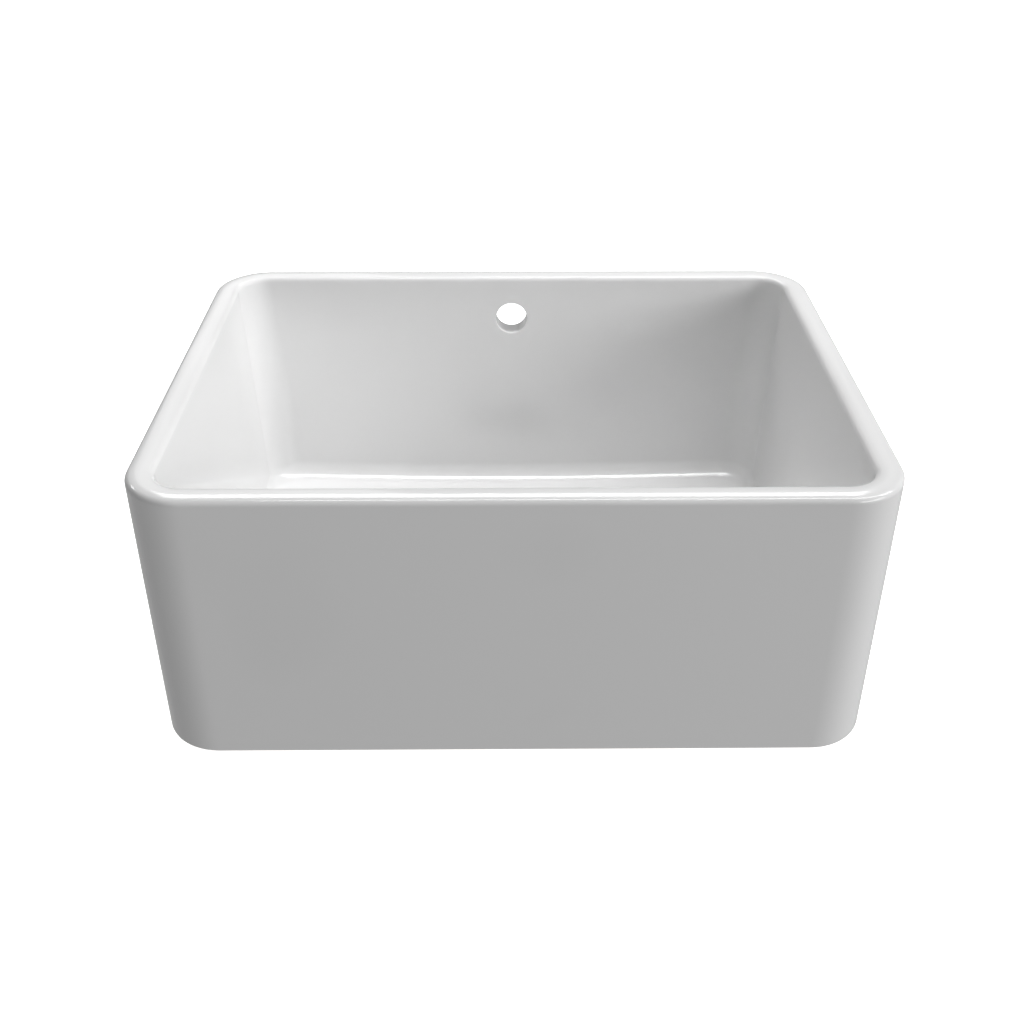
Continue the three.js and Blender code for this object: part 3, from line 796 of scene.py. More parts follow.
@dataclass
class Casting:
    """The sink itself: one skin over a section that is carried round the plan."""

    width: float = 595.0
    depth: float = 454.0
    height: float = 247.0
    wall: float = 22.0
    draft: float = 13.0
    outer_corner: float = 50.0
    floor_corner: float = 33.0
    rim_rounding: float = 5.0
    rim_crown: float = 8.0  # degrees
    foot_rounding: float = 2.5
    cove: float = 18.0
    base: float = 15.0
    slope: float = 0.033
    overflow_radius: float = 16.0
    overflow_drop: float = 44.0
    overflow_inner_edge: float = 1.0
    overflow_outer_edge: float = 5.5
    overflow_land: float = 0.5  # flat ring round the hole's edge, which keeps its shade off the wall
    overflow_facets: int = 96
    bore: float = 45.0
    bore_land: float = 4.0  # flat of the ledge that the rebate's mesh keeps outside the bore's edge
    rebate: float = 59.0
    rebate_depth: float = 3.6
    rebate_root: float = 1.0
    soft: float = 1.4  # round that the glaze leaves on the rebate's edges
    corner_steps: int = 24
    side_steps: int = 40
    patch: float = 24.75  # half of the square that the overflow hole is set in
    brow_drop: float = 4.0  # from the rim's outer round down to the last row of the flat outside
    levels: tuple[float, ...] = (8, 40, 80, 120, 150)  # rows on the outside, below the overflow

    def __post_init__(self) -> None:
        """Works out what follows from the sizes."""
        rim, crown = self.rim_rounding, math.radians(self.rim_crown)
        self.lean = math.atan(self.draft / (self.height - self.cove - self.base))  # of the bowl's walls
        self.fall = math.atan(self.slope)  # of its floor
        self.cove_inset = self.wall + self.draft
        self.foot_run = self.cove * (math.cos(self.lean) - math.sin(self.fall))
        self.crown_radius = (self.wall / 2 - rim + rim * math.sin(crown)) / math.sin(crown)
        self.brow = self.height - self.crown_radius * (1 - math.cos(crown)) - rim * math.cos(crown)
        self.hole = self.height - self.overflow_drop
        self.round_hole = [self.hole + k * self.patch / 2 for k in (-2, -1, 0, 1, 2)]
        self.ledge = self.base - self.rebate_depth  # what the flange's gasket lies on

    def upright(self, inset: float, level: float, edge: float = 0.0) -> Row:
        """A row whose corners are round about the same centres as the outside's."""
        return Row(inset, self.outer_corner - inset, level, edge=edge)

    def outside_rows(self) -> list[Row]:
        """Lays out the outside.

        Returns:
            The rows from the bore's lower edge out over the underside, round the foot and up.
        """
        foot, reach = self.foot_rounding, self.bore + self.soft
        flat = Row(foot, self.outer_corner - foot, 0.0, radius=reach)
        found = [replace(flat, round=share) for share in (1.0, 0.8, 0.6, 0.4, 0.2, 0.08)]
        for a in arc(QUARTER_TURN, 0, 6):
            found.append(self.upright(foot * (1 - math.cos(a)), foot * (1 - math.sin(a))))
        levels = (*self.levels, *self.round_hole, self.brow - self.brow_drop)
        return found + [self.upright(0.0, level) for level in levels]

    def rim_rows(self) -> list[Row]:
        """Lays out the rim.

        Returns:
            The rows over its outer edge, its crown and its inner edge.
        """
        rim, crown, radius = self.rim_rounding, math.radians(self.rim_crown), self.crown_radius
        found = []
        for a in arc(0, QUARTER_TURN - crown, 8):
            found.append(self.upright(rim * (1 - math.cos(a)), self.brow + rim * math.sin(a), math.sin(a)))
        for a in arc(-crown, crown, 10)[1:-1]:
            level = self.height - radius * (1 - math.cos(a))
            found.append(self.upright(self.wall / 2 + radius * math.sin(a), level, abs(a) / crown))
        for a in arc(crown, QUARTER_TURN - self.lean, 8):
            inset = self.wall - rim * (1 - math.sin(a))
            found.append(self.upright(inset, self.brow + rim * math.cos(a), math.cos(a)))
        return found

    def bowl_rows(self, rim: Row) -> list[Row]:
        """The rows down the bowl's wall and round its cove.

        Args:
            rim: the last row of the rim.

        Returns:
            The rows. Their corners change from the rim's to the floor's on the way down.
        """
        foot = self.cove * (math.cos(self.fall) - math.sin(self.lean))
        floor_run = self.depth / 2 - self.cove_inset - self.cove - self.rebate
        drop = rim.level - foot - self.base - self.slope * floor_run
        near_hole = [(rim.level - level) / drop for level in reversed(self.round_hole)]
        found = []
        for share in (0.015, *near_hole, 0.4, 0.5, 0.6, 0.7, 0.8, 0.9, 0.97):
            inset = rim.inset + (self.cove_inset - rim.inset) * share
            corner = rim.corner * (1 - share) + self.floor_corner * share
            found.append(Row(inset, corner, rim.level * (1 - share) + foot * share, foot=share))
        for a in arc(self.lean, QUARTER_TURN - self.fall, 16):
            run = self.cove * (math.cos(self.lean) - math.cos(a))
            level = self.cove * (math.cos(self.fall) - math.sin(a))
            found.append(Row(self.cove_inset + run, self.floor_corner - run, level, foot=1.0))
        return found

    def waste_rows(self, foot: Row) -> list[Row]:
        """The rows over the floor, into the rebate and down the bore.

        Args:
            foot: the last row of the cove.

        Returns:
            The rows. They change from the cove's plan to a circle on the way in.
        """
        soft, root, ledge, edge = self.soft, self.rebate_root, self.ledge, self.bore + self.soft
        lip = Row(foot.inset, foot.corner, 0.0, fall=1.0, radius=self.rebate + soft)
        top = self.base + self.slope * soft
        shares = (0.03, 0.1, 0.2, 0.3, 0.4, 0.5, 0.6, 0.7, 0.8, 0.88, 0.94, 0.98, 1.0)
        throat: list[tuple[float, float, float]] = []  # radius, level and how thin the glaze is
        for a in arc(0, QUARTER_TURN, 6)[1:]:
            throat.append((lip.radius - soft * math.sin(a), top - soft * (1 - math.cos(a)), 1.0))
        for a in arc(0, QUARTER_TURN, 4):
            throat.append((self.rebate - root * (1 - math.cos(a)), ledge + root * (1 - math.sin(a)), 0.0))
        throat.append((edge + self.bore_land, ledge, 0.0))
        for a in arc(0, QUARTER_TURN, 5):
            throat.append((edge - soft * math.sin(a), ledge - soft * (1 - math.cos(a)), 0.5))
        for a in arc(0, QUARTER_TURN, 5)[:-1]:
            throat.append((edge - soft * math.cos(a), soft * (1 - math.sin(a)), 0.0))
        found = [replace(lip, round=share) for share in shares]
        for radius, level, thin in throat:
            found.append(Row(foot.inset, foot.corner, level, round=1.0, radius=radius, edge=thin))
        return found

    def rows(self) -> list[Row]:
        """Lays out the closed section.

        Returns:
            The rows, from the bore's lower edge out over the underside, up, over the rim, down and back.
        """
        found = self.outside_rows() + self.rim_rows()
        found += self.bowl_rows(found[-1])
        return found + self.waste_rows(found[-1])

    def stations(self) -> list[tuple[Vector, Vector, Vector]]:
        """Places round the plan where every row has a vertex.

        Returns:
            For each, the pull on the corner's centre, the way it faces, and its spoke on the circle.
        """
        signs = [Vector((x, y, 0)) for x, y in ((1, 1), (-1, 1), (-1, -1), (1, -1))]
        count = 4 * (self.corner_steps + self.side_steps)
        found: list[tuple[Vector, Vector, Vector]] = []
        for side in range(4):
            for i in range(self.corner_steps + self.side_steps):
                turn = min(i / self.corner_steps, 1.0)
                along = max(0.0, (i - self.corner_steps) / self.side_steps)
                angle = (side + turn) * QUARTER_TURN
                spin = FULL_TURN * (len(found) + self.side_steps / 2) / count
                pull = signs[side].lerp(signs[(side + 1) % 4], along)
                facing, spoke = (Vector((math.cos(a), math.sin(a), 0)) for a in (angle, spin))
                found.append((pull, facing, spoke))
        return found

    def skin_tree(self) -> Tree:
        """The tree that carries the section round the plan and closes it both ways.

        Returns:
            The tree. Its geometry holds the stations' vertices first and then the rows'.
        """
        lengths = ("Half Width", "Half Depth", "Base", "Slope", "Rebate", "Foot Inset", "Foot Corner")
        sizes = {"Stations": int, "Rows": int, **dict.fromkeys(lengths, float)}
        sizes |= dict.fromkeys(("Glaze", "Biscuit"), bpy.types.Material)
        tree, given = shape_tree("sink_skin", sizes)
        guide = given["Geometry"]

        # One more vertex than needed each way; the last row and station lie on the first.
        across = add(tree, SUM, [given["Stations"], 1])
        down = add(tree, SUM, [given["Rows"], 1])
        sheet = add(tree, "GeometryNodeMeshGrid", {"Vertices X": across, "Vertices Y": down})
        index = add(tree, "GeometryNodeInputIndex")
        past = add(tree, SUM, [index, 0.5])
        column = add(tree, SUM, [add(tree, SUM, [past, down], operation="DIVIDE")], operation="FLOOR")
        station = add(tree, SUM, [column, given["Stations"]], operation="FLOORED_MODULO")
        line = add(tree, SUM, [index, down], operation="FLOORED_MODULO")
        turn = add(tree, SUM, [line, given["Rows"]], operation="FLOORED_MODULO")
        row = add(tree, SUM, [turn, given["Stations"]])

        names = ("pull", "facing", "spoke")
        pull, facing, spoke = (drawn(tree, guide, name, station, "FLOAT_VECTOR") for name in names)
        half = add(tree, "ShaderNodeCombineXYZ", [given["Half Width"], given["Half Depth"]])

        def plan(inset: Node | Socket, corner: Node | Socket) -> Node:
            """Where a station meets the rounded rectangle.

            Args:
                inset: how far in from the outside.
                corner: radius of the rectangle's corners.

            Returns:
                The node that gives the point.
            """
            stand = add(tree, SUM, [inset, corner])
            reach = add(tree, VECTOR_SUM, [half, stand], operation="SUBTRACT")
            centre = add(tree, VECTOR_SUM, [pull, reach], operation="MULTIPLY")
            return add(tree, VECTOR_SUM, [facing, corner, centre], operation="MULTIPLY_ADD")

        def floor_height(spot: Node) -> Node:
            """Height of the floor's cone above a point of the plan.

            Args:
                spot: the point of the plan.

            Returns:
                The node that gives the height.
            """
            reach = add(tree, VECTOR_SUM, [spot], operation="LENGTH").outputs["Value"]
            past = add(tree, SUM, [reach, given["Rebate"]], operation="SUBTRACT")
            return add(tree, SUM, [past, given["Slope"], given["Base"]], operation="MULTIPLY_ADD")

        held = {field.name: drawn(tree, guide, field.name, row) for field in fields(Row)}
        squared = plan(held["inset"], held["corner"])
        circled = add(tree, VECTOR_SUM, [spoke, held["radius"]], operation="MULTIPLY")
        pulled_in = add(tree, VECTOR_SUM, [circled, squared], operation="SUBTRACT")
        spot = add(tree, VECTOR_SUM, [pulled_in, held["round"], squared], operation="MULTIPLY_ADD")
        foot = floor_height(plan(given["Foot Inset"], given["Foot Corner"]))
        low = add(tree, SUM, [foot, held["foot"], held["level"]], operation="MULTIPLY_ADD")
        level = add(tree, SUM, [floor_height(spot), held["fall"], low], operation="MULTIPLY_ADD")
        lift = add(tree, "ShaderNodeCombineXYZ", {"Z": level})
        bend = {"Geometry": sheet, "Position": spot, "Offset": lift}
        bent = add(tree, "GeometryNodeSetPosition", bend)
        thin = {"Geometry": bent, "Name": "glaze_edge", "Value": held["edge"]}
        marked = add(tree, "GeometryNodeStoreNamedAttribute", thin, data_type="FLOAT", domain="POINT")
        sewn = add(tree, "GeometryNodeMergeByDistance", {"Geometry": marked, "Distance": SEAM})
        real = add(tree, "GeometryNodeRealizeInstances", [sewn])
        glazed = add(tree, "GeometryNodeSetMaterial", {"Geometry": real, "Material": given["Glaze"]})
        height = add(tree, "ShaderNodeSeparateXYZ", [add(tree, "GeometryNodeInputPosition")]).outputs["Z"]
        under = add(tree, SUM, [height, UNDERSIDE], operation="LESS_THAN")
        bare = {"Geometry": glazed, "Selection": under, "Material": given["Biscuit"]}
        add(tree, "NodeGroupOutput", [add(tree, "GeometryNodeSetMaterial", bare)])
        return tree

    def build(self) -> None:
        """Makes the casting from its stations and rows, opens the overflow hole and finishes it."""
        stations, rows = self.stations(), self.rows()
        seed = bpy.data.meshes.new("sink_body")
        seed.from_pydata([(0, 0, 0)] * (len(stations) + len(rows)), [], [])
        for name, vectors in zip(("pull", "facing", "spoke"), zip(*stations)):
            hold(seed, name, [*vectors, *[Vector()] * len(rows)])
        for field in fields(Row):
            scale = MM if field.name in ("inset", "corner", "level", "radius") else 1.0
            hold(seed, field.name, [0.0] * len(stations) + [getattr(row, field.name) * scale for row in rows])
        made = bpy.data.objects.new("sink_body", seed)
        bpy.context.scene.collection.objects.link(made)
        lengths = {
            "Half Width": self.width / 2,
            "Half Depth": self.depth / 2,
            "Base": self.base,
            "Rebate": self.rebate,
            "Foot Inset": self.cove_inset + self.foot_run,
            "Foot Corner": self.floor_corner - self.foot_run,
        }
        sizes = {name: size * MM for name, size in lengths.items()}
        sizes |= {"Stations": len(stations), "Rows": len(rows), "Slope": self.slope}
        sizes |= {"Glaze": GLAZE.material(), "Biscuit": BISCUIT.material()}
        grown(made, self.skin_tree(), sizes)
        self.pierce(made.data)
        finished(made, GLAZE, Body.SINK, "sink_body")

    def pierce(self, mesh: bpy.types.Mesh) -> None:
        """Opens the overflow hole through the rear wall, with a soft edge at both faces.

        Args:
            mesh: the casting's skin; it is changed.
        """
        solid = bmesh.new()
        solid.from_mesh(mesh)
        bmesh.ops.recalc_face_normals(solid, faces=solid.faces)
        inner = self.mouth(solid, -1, self.overflow_inner_edge)
        outer = self.mouth(solid, 1, self.overflow_outer_edge)
        bridge(solid, inner, outer)
        bmesh.ops.recalc_face_normals(solid, faces=solid.faces)
        solid.to_mesh(mesh)
        solid.free()

    def mouth(self, solid: Solid, way: int, edge: float) -> list[Vert]:
        """Sets a round mouth into one face of the rear wall.

        Args:
            solid: the casting; it is changed.
            way: -1 for the face inside the bowl, 1 for the outside.
            edge: radius that its edge is rounded by.

        Returns:
            The ring of vertices at the bottom of the rounding.
        """
        half, level, count = self.patch * MM, self.hole * MM, self.overflow_facets
        patch = []
        for face in solid.faces:
            x, y, z = face.calc_center_median()
            here = abs(x) < half and abs(z - level) < half * 1.02 and y > self.depth * MM / 3
            if here and face.normal.y * way > FACING:
                patch.append(face)
        flat, on = patch[0].normal.copy(), patch[0].verts[0].co.copy()
        rim = [e for face in patch for e in face.edges if sum(f in patch for f in e.link_faces) == 1]
        bmesh.ops.delete(solid, geom=patch, context="FACES")
        brink = [(self.overflow_radius + edge + self.overflow_land, 0.0)]
        for a in arc(0, QUARTER_TURN, 8):
            brink.append((self.overflow_radius + edge * (1 - math.sin(a)), edge * (1 - math.cos(a))))
        rings = []
        for radius, sunk in brink:
            ring = []
            for spin in arc(0, FULL_TURN, count)[:-1]:
                x, z = radius * math.cos(spin) * MM, level + radius * math.sin(spin) * MM
                y = on.y - (flat.x * (x - on.x) + flat.z * (z - on.z)) / flat.y
                ring.append(solid.verts.new((x, y - way * sunk * MM, z)))
            rings.append(ring)
        first = [solid.edges.new((rings[0][i], rings[0][(i + 1) % count])) for i in range(count)]
        bmesh.ops.triangle_fill(solid, edges=rim + first, use_beauty=True, normal=flat)
        for outer, inner in zip(rings, rings[1:]):
            bridge(solid, outer, inner)
        return rings[-1]


# ---- The waste --------------------------------------------------------------------------------------


@dataclass
class WasteSizes:
    """Sizes that the waste's pieces share."""

    bore: float = 45.0
    ledge: float = 11.4
    sheet: float = 1.0
    gap: float = 0.3  # between pieces that touch
    running: float = 0.4  # between pieces that move
    gasket: float = 1.7
    flange: float = 56.5
    flange_thickness: float = 1.2
    cup_inside: float = 41.0
    cup_depth: float = 37.0
    cup_shoulder: float = 8.0
    bolt: float = 5.0
    bolt_bore: float = 3.7
    bolt_head: float = 9.0
    bolt_head_height: float = 3.0
    bolt_washer: float = 1.0
    bung: float = 30.0

    def __post_init__(self) -> None:
        """Works out the levels from the ledge to the top of the bolt's head."""
        self.flange_under = self.ledge + self.gasket + 2 * self.gap
        self.flange_top = self.flange_under + self.flange_thickness
        self.cup_floor = self.flange_top - self.cup_depth
        self.head_bottom = self.cup_floor + self.bolt_washer + 2 * self.gap
        self.head_top = self.head_bottom + self.bolt_head_height


@dataclass
class ClampedWaste:
    """What is clamped to the casting: flange and cup above, body below, and the bolt between them."""

    fit: WasteSizes
    cup_slots: int = 8
    cup_slot: float = 5.0
    slot_margin: float = 3.6  # solid cup inside and outside the slots
    body_wall: float = 3.0
    body_inside: float = 46.0
    body_round: float = 4.0
    body_flange: float = 4.0
    flange_overlap: float = 12.0
    cone: float = 0.6  # fall for each millimetre inwards
    cone_drop: float = 1.0
    seal: float = 4.0
    outlet: float = 23.9
    outlet_wall: float = 3.9
    outlet_length: float = 24.0
    pitch: float = 2.309  # an 11 to the inch pipe thread
    thread_depth: float = 1.25
    thread_margin: float = 5.5  # length of the outlet that has no thread
    inlet_drop: float = 27.0
    inlet: float = 12.0
    inlet_reach: float = 20.0
    boss: float = 13.5
    boss_drop: float = 10.0
    boss_floor: float = 4.0
    insert: float = 17.0
    insert_height: float = 12.0
    arms: int = 3
    arm: float = 4.0
    gussets: int = 8
    gusset: float = 2.6
    gusset_height: float = 14.0
    cap_wall: float = 2.6
    cap_skirt: float = 11.0
    cap_notches: int = 24
    cap_notch: float = 1.3
    inlet_washer: float = 2.0

    def __post_init__(self) -> None:
        """Works out the radii and levels that several pieces need."""
        self.seat = self.fit.bore + self.flange_overlap  # radius of the clamping flange
        self.outside = self.body_inside + self.body_wall
        self.root = self.outside - self.body_wall / 2  # inside the wall, where what is added to it begins
        self.top = -(self.seal + 2 * self.fit.gap)
        self.boss_top = self.fit.cup_floor - self.fit.sheet - self.boss_drop
        self.boss_bottom = self.boss_top - self.insert_height - self.boss_floor
        self.shoulder = min(-self.inlet_drop - self.inlet - 2.0, self.boss_top - self.body_round)
        self.throat = self.shoulder - (self.body_inside - self.outlet + self.outlet_wall) * self.cone
        self.end = self.throat - self.outlet_length
        self.inlet_face = self.outside + self.inlet_reach
        self.along_inlet = (quarter("X", -1), shift(z=-self.inlet_drop))  # lays upright pieces on its axis

    def build_gasket(self) -> None:
        """The soft ring under the flange."""
        fit = self.fit
        ring = washer(fit.bore + 0.5, fit.flange - 0.5, fit.ledge + fit.gap, fit.gasket, 0.5)
        finished(ring, RUBBER, Body.SINK, "flange_gasket")

    def build_cup(self) -> None:
        """The pressed flange and cup, with slots in its floor."""
        fit = self.fit
        hole, under = fit.bolt + fit.running, fit.cup_floor - fit.sheet
        outside = fit.cup_inside + fit.sheet
        profile = [
            [hole, under], [outside, under, fit.cup_shoulder + fit.sheet],
            [outside, fit.flange_under, 2.0], [fit.flange, fit.flange_under, 0.15],
            [fit.flange, fit.flange_top, 0.9], [fit.cup_inside, fit.flange_top, 3.0],
            [fit.cup_inside, fit.cup_floor, fit.cup_shoulder], [hole, fit.cup_floor],
        ]
        shell = turned(profile, facets=128, steps=8)
        inner, outer = fit.bolt_head + self.slot_margin, fit.bung - self.slot_margin
        outline = bar(inner, outer, self.cup_slot, self.cup_slot / 2 - ROUND_END)
        slot = prism(outline, under - OVER, fit.cup_floor + OVER)
        cup = combine(shell, round_axis(slot, self.cup_slots, STAINLESS), Cut.AWAY)
        finished(cup, STAINLESS, Body.SINK, "strainer_cup")

    def build_seal(self) -> None:
        """The thick ring that the clamping flange presses against the underside."""
        inside, outside = self.body_inside, self.seat - 1.0
        low, high = -self.fit.gap - self.seal, -self.fit.gap
        section = [[inside, low, 0.5], [outside, low, 0.7], [outside, high, 1.0], [inside, high, 0.5]]
        finished(turned(section, steps=4), RUBBER, Body.SINK, "underside_seal")

    def build_body(self) -> None:
        """The moulded body: flange, bowl, threaded outlet, gussets, spider and overflow inlet."""
        wall, inside, outside, soft = self.body_wall, self.body_inside, self.outside, self.body_round
        under, waist = self.top - self.body_flange, self.throat - self.cone_drop
        core, pipe = self.outlet - self.thread_depth, self.outlet - self.outlet_wall
        profile = [
            [0, self.top], [self.seat, self.top, 0.6], [self.seat, under, 1.0],
            [outside, under, soft / 2], [outside, self.shoulder - self.cone_drop, soft + wall],
            [self.outlet, waist, soft], [self.outlet, self.throat - 3.0, 0.5],
            [core, self.throat - 4.2, 0.4], [core, self.end + 1.0], [core - 1.0, self.end],
            [0, self.end],
        ]
        form = turned(profile)
        profile = [
            [0, self.top + OVER], [inside, self.top + OVER], [inside, self.shoulder, soft],
            [pipe, self.throat, soft], [pipe, self.end - OVER], [0, self.end - OVER],
        ]
        hollow = turned(profile)
        inlet = rod(self.inlet, self.root, self.inlet_face, 72, above=0.6)
        bore = rod(self.inlet - wall, inside - wall, self.inlet_face + OVER, 60)
        body = combine(form, self.ribs(), Cut.ON)
        combine(body, moved(inlet, *self.along_inlet), Cut.ON)
        combine(body, combine(hollow, moved(bore, *self.along_inlet), Cut.ON), Cut.AWAY)
        self.add_spider(body)
        self.add_thread(body, core - 0.1)
        finished(body, POLYPROPYLENE, Body.SINK, "waste_body", crease=30.0)

    def ribs(self) -> Thing:
        """Makes the gussets that stiffen the clamping flange.

        Returns:
            One object that holds them all.
        """
        under = self.top - self.body_flange
        high, tip = under + self.body_flange / 2, self.seat - 1.0
        rib = [[self.root, high], [tip, high], [tip, under - 0.5], [self.root, under - self.gusset_height]]
        plate = prism(rib, -self.gusset / 2, self.gusset / 2)
        first = HALF_TURN / self.gussets
        return round_axis(moved(plate, quarter("X")), self.gussets, POLYPROPYLENE, first)

    def add_spider(self, body: Thing) -> None:
        """Puts the arms and the boss into the body.

        Args:
            body: the body; it is changed.
        """
        outside, root = self.outside - 0.5, self.boss - self.arm / 2
        arm = [
            [root, self.boss_top - 0.4], [self.root, self.boss_top - self.arm / 2],
            [self.root, self.boss_bottom + self.arm], [root, self.boss_bottom + 0.4],
        ]
        plate = moved(prism(arm, -self.arm / 2, self.arm / 2), quarter("X"))
        arms = round_axis(plate, self.arms, POLYPROPYLENE, first=QUARTER_TURN)
        profile = [
            [0, self.top], [outside, self.top],
            [outside, self.shoulder - self.cone_drop, self.body_round + self.body_wall],
            [self.outlet - 0.5, self.throat - self.cone_drop], [0, self.throat - self.cone_drop],
        ]
        bowl = turned(profile)
        combine(body, combine(arms, bowl, Cut.WITHIN), Cut.ON)
        combine(body, rod(self.boss, self.boss_bottom, self.boss_top, 64, 0.6, 0.6), Cut.ON)
        floor = self.boss_top - self.insert_height - self.fit.gap
        combine(body, prism(hexagon(self.insert + 2 * self.fit.gap), floor, self.boss_top + OVER), Cut.AWAY)
        combine(body, rod(self.fit.bolt + 1.0, self.boss_bottom - OVER, self.boss_top, 48), Cut.AWAY)

    def add_thread(self, body: Thing, core: float) -> None:
        """Winds the trap's thread round the outlet.

        Args:
            body: the body; it is changed.
            core: radius that the thread's foot lies on.
        """
        lengths = {"Core": core, "Crest": self.outlet, "Pitch": self.pitch, "Foot": self.end + 1.2}
        sizes = {name: size * MM for name, size in lengths.items()}
        sizes |= {"Turns": (self.outlet_length - self.thread_margin) / self.pitch}
        sizes |= {"Material": POLYPROPYLENE.material()}
        thread = grown(piece("thread", bmesh.new()), thread_tree(), sizes)
        joined = bmesh.new()
        joined.from_mesh(body.data)
        joined.from_mesh(thread.data)
        joined.to_mesh(body.data)
        joined.free()
        bpy.data.objects.remove(thread)

    def build_insert(self) -> None:
        """The brass hexagon that the bolt is screwed into."""
        high, bore = self.boss_top, self.fit.bolt + self.fit.gap
        low, above = high - self.insert_height, high + OVER
        cut = [[0, low - OVER], [bore, low - OVER], [bore, high - 0.6], [bore + 1.6, above], [0, above]]
        insert = combine(prism(hexagon(self.insert, 0.4), low, high, steps=3), turned(cut, 48), Cut.AWAY)
        finished(insert, BRASS, Body.SINK, "brass_insert")

    def build_bolt(self) -> None:
        """The hollow slotted bolt and the soft washer under its head."""
        fit, hole = self.fit, self.fit.bolt + self.fit.running
        ring = washer(hole, fit.bolt_head + 1.0, fit.cup_floor + fit.gap, fit.bolt_washer, 0.3)
        finished(ring, RUBBER, Body.SINK, "bolt_washer")
        tip = self.boss_bottom + 1.0
        profile = [
            [fit.bolt_bore, tip], [fit.bolt - 0.6, tip], [fit.bolt, tip + 0.7],
            [fit.bolt, fit.head_bottom], [fit.bolt_head, fit.head_bottom, 0.2],
            [fit.bolt_head, fit.head_top, 1.2], [fit.bolt_bore, fit.head_top, 0.4],
        ]
        shell = turned(profile, facets=64)
        reach = fit.bolt_head + OVER
        slot = prism(bar(-reach, reach, 2.4), fit.head_top - fit.bolt_head_height / 2, fit.head_top + OVER)
        finished(combine(shell, slot, Cut.AWAY), STAINLESS, Body.SINK, "fixing_bolt")

    def build_inlet(self) -> None:
        """The blanking cap on the overflow inlet and the washer in it."""
        low = self.inlet_face + self.fit.gap
        disc = rod(self.inlet - self.fit.running, low, low + self.inlet_washer, 64, 0.3, 0.3)
        finished(moved(disc, *self.along_inlet), RUBBER, Body.SINK, "inlet_washer")
        seat = low + self.inlet_washer + self.fit.gap
        end, skirt = seat + self.cap_wall, self.inlet_face - self.cap_skirt
        inside = self.inlet + self.fit.gap
        outside = inside + self.cap_wall
        inner = [[0, seat], [inside, seat], [inside, skirt]]
        outer = [[outside, skirt, 0.5], [outside, end, 1.3]]
        notch = rod(self.cap_notch, skirt - OVER, seat - 0.5, 16, above=0.9)
        notches = round_axis(moved(notch, shift(x=outside + 0.55)), self.cap_notches, POLYPROPYLENE)
        cap = combine(turned([*inner, *outer, [0, end]]), notches, Cut.AWAY)
        for step in self.along_inlet:
            cap.data.transform(step)
        finished(cap, POLYPROPYLENE, Body.SINK, "inlet_cap", crease=34.0)

    def build(self) -> None:
        """Makes every clamped piece."""
        self.build_gasket()
        self.build_cup()
        self.build_seal()
        self.build_body()
        self.build_insert()
        self.build_bolt()
        self.build_inlet()


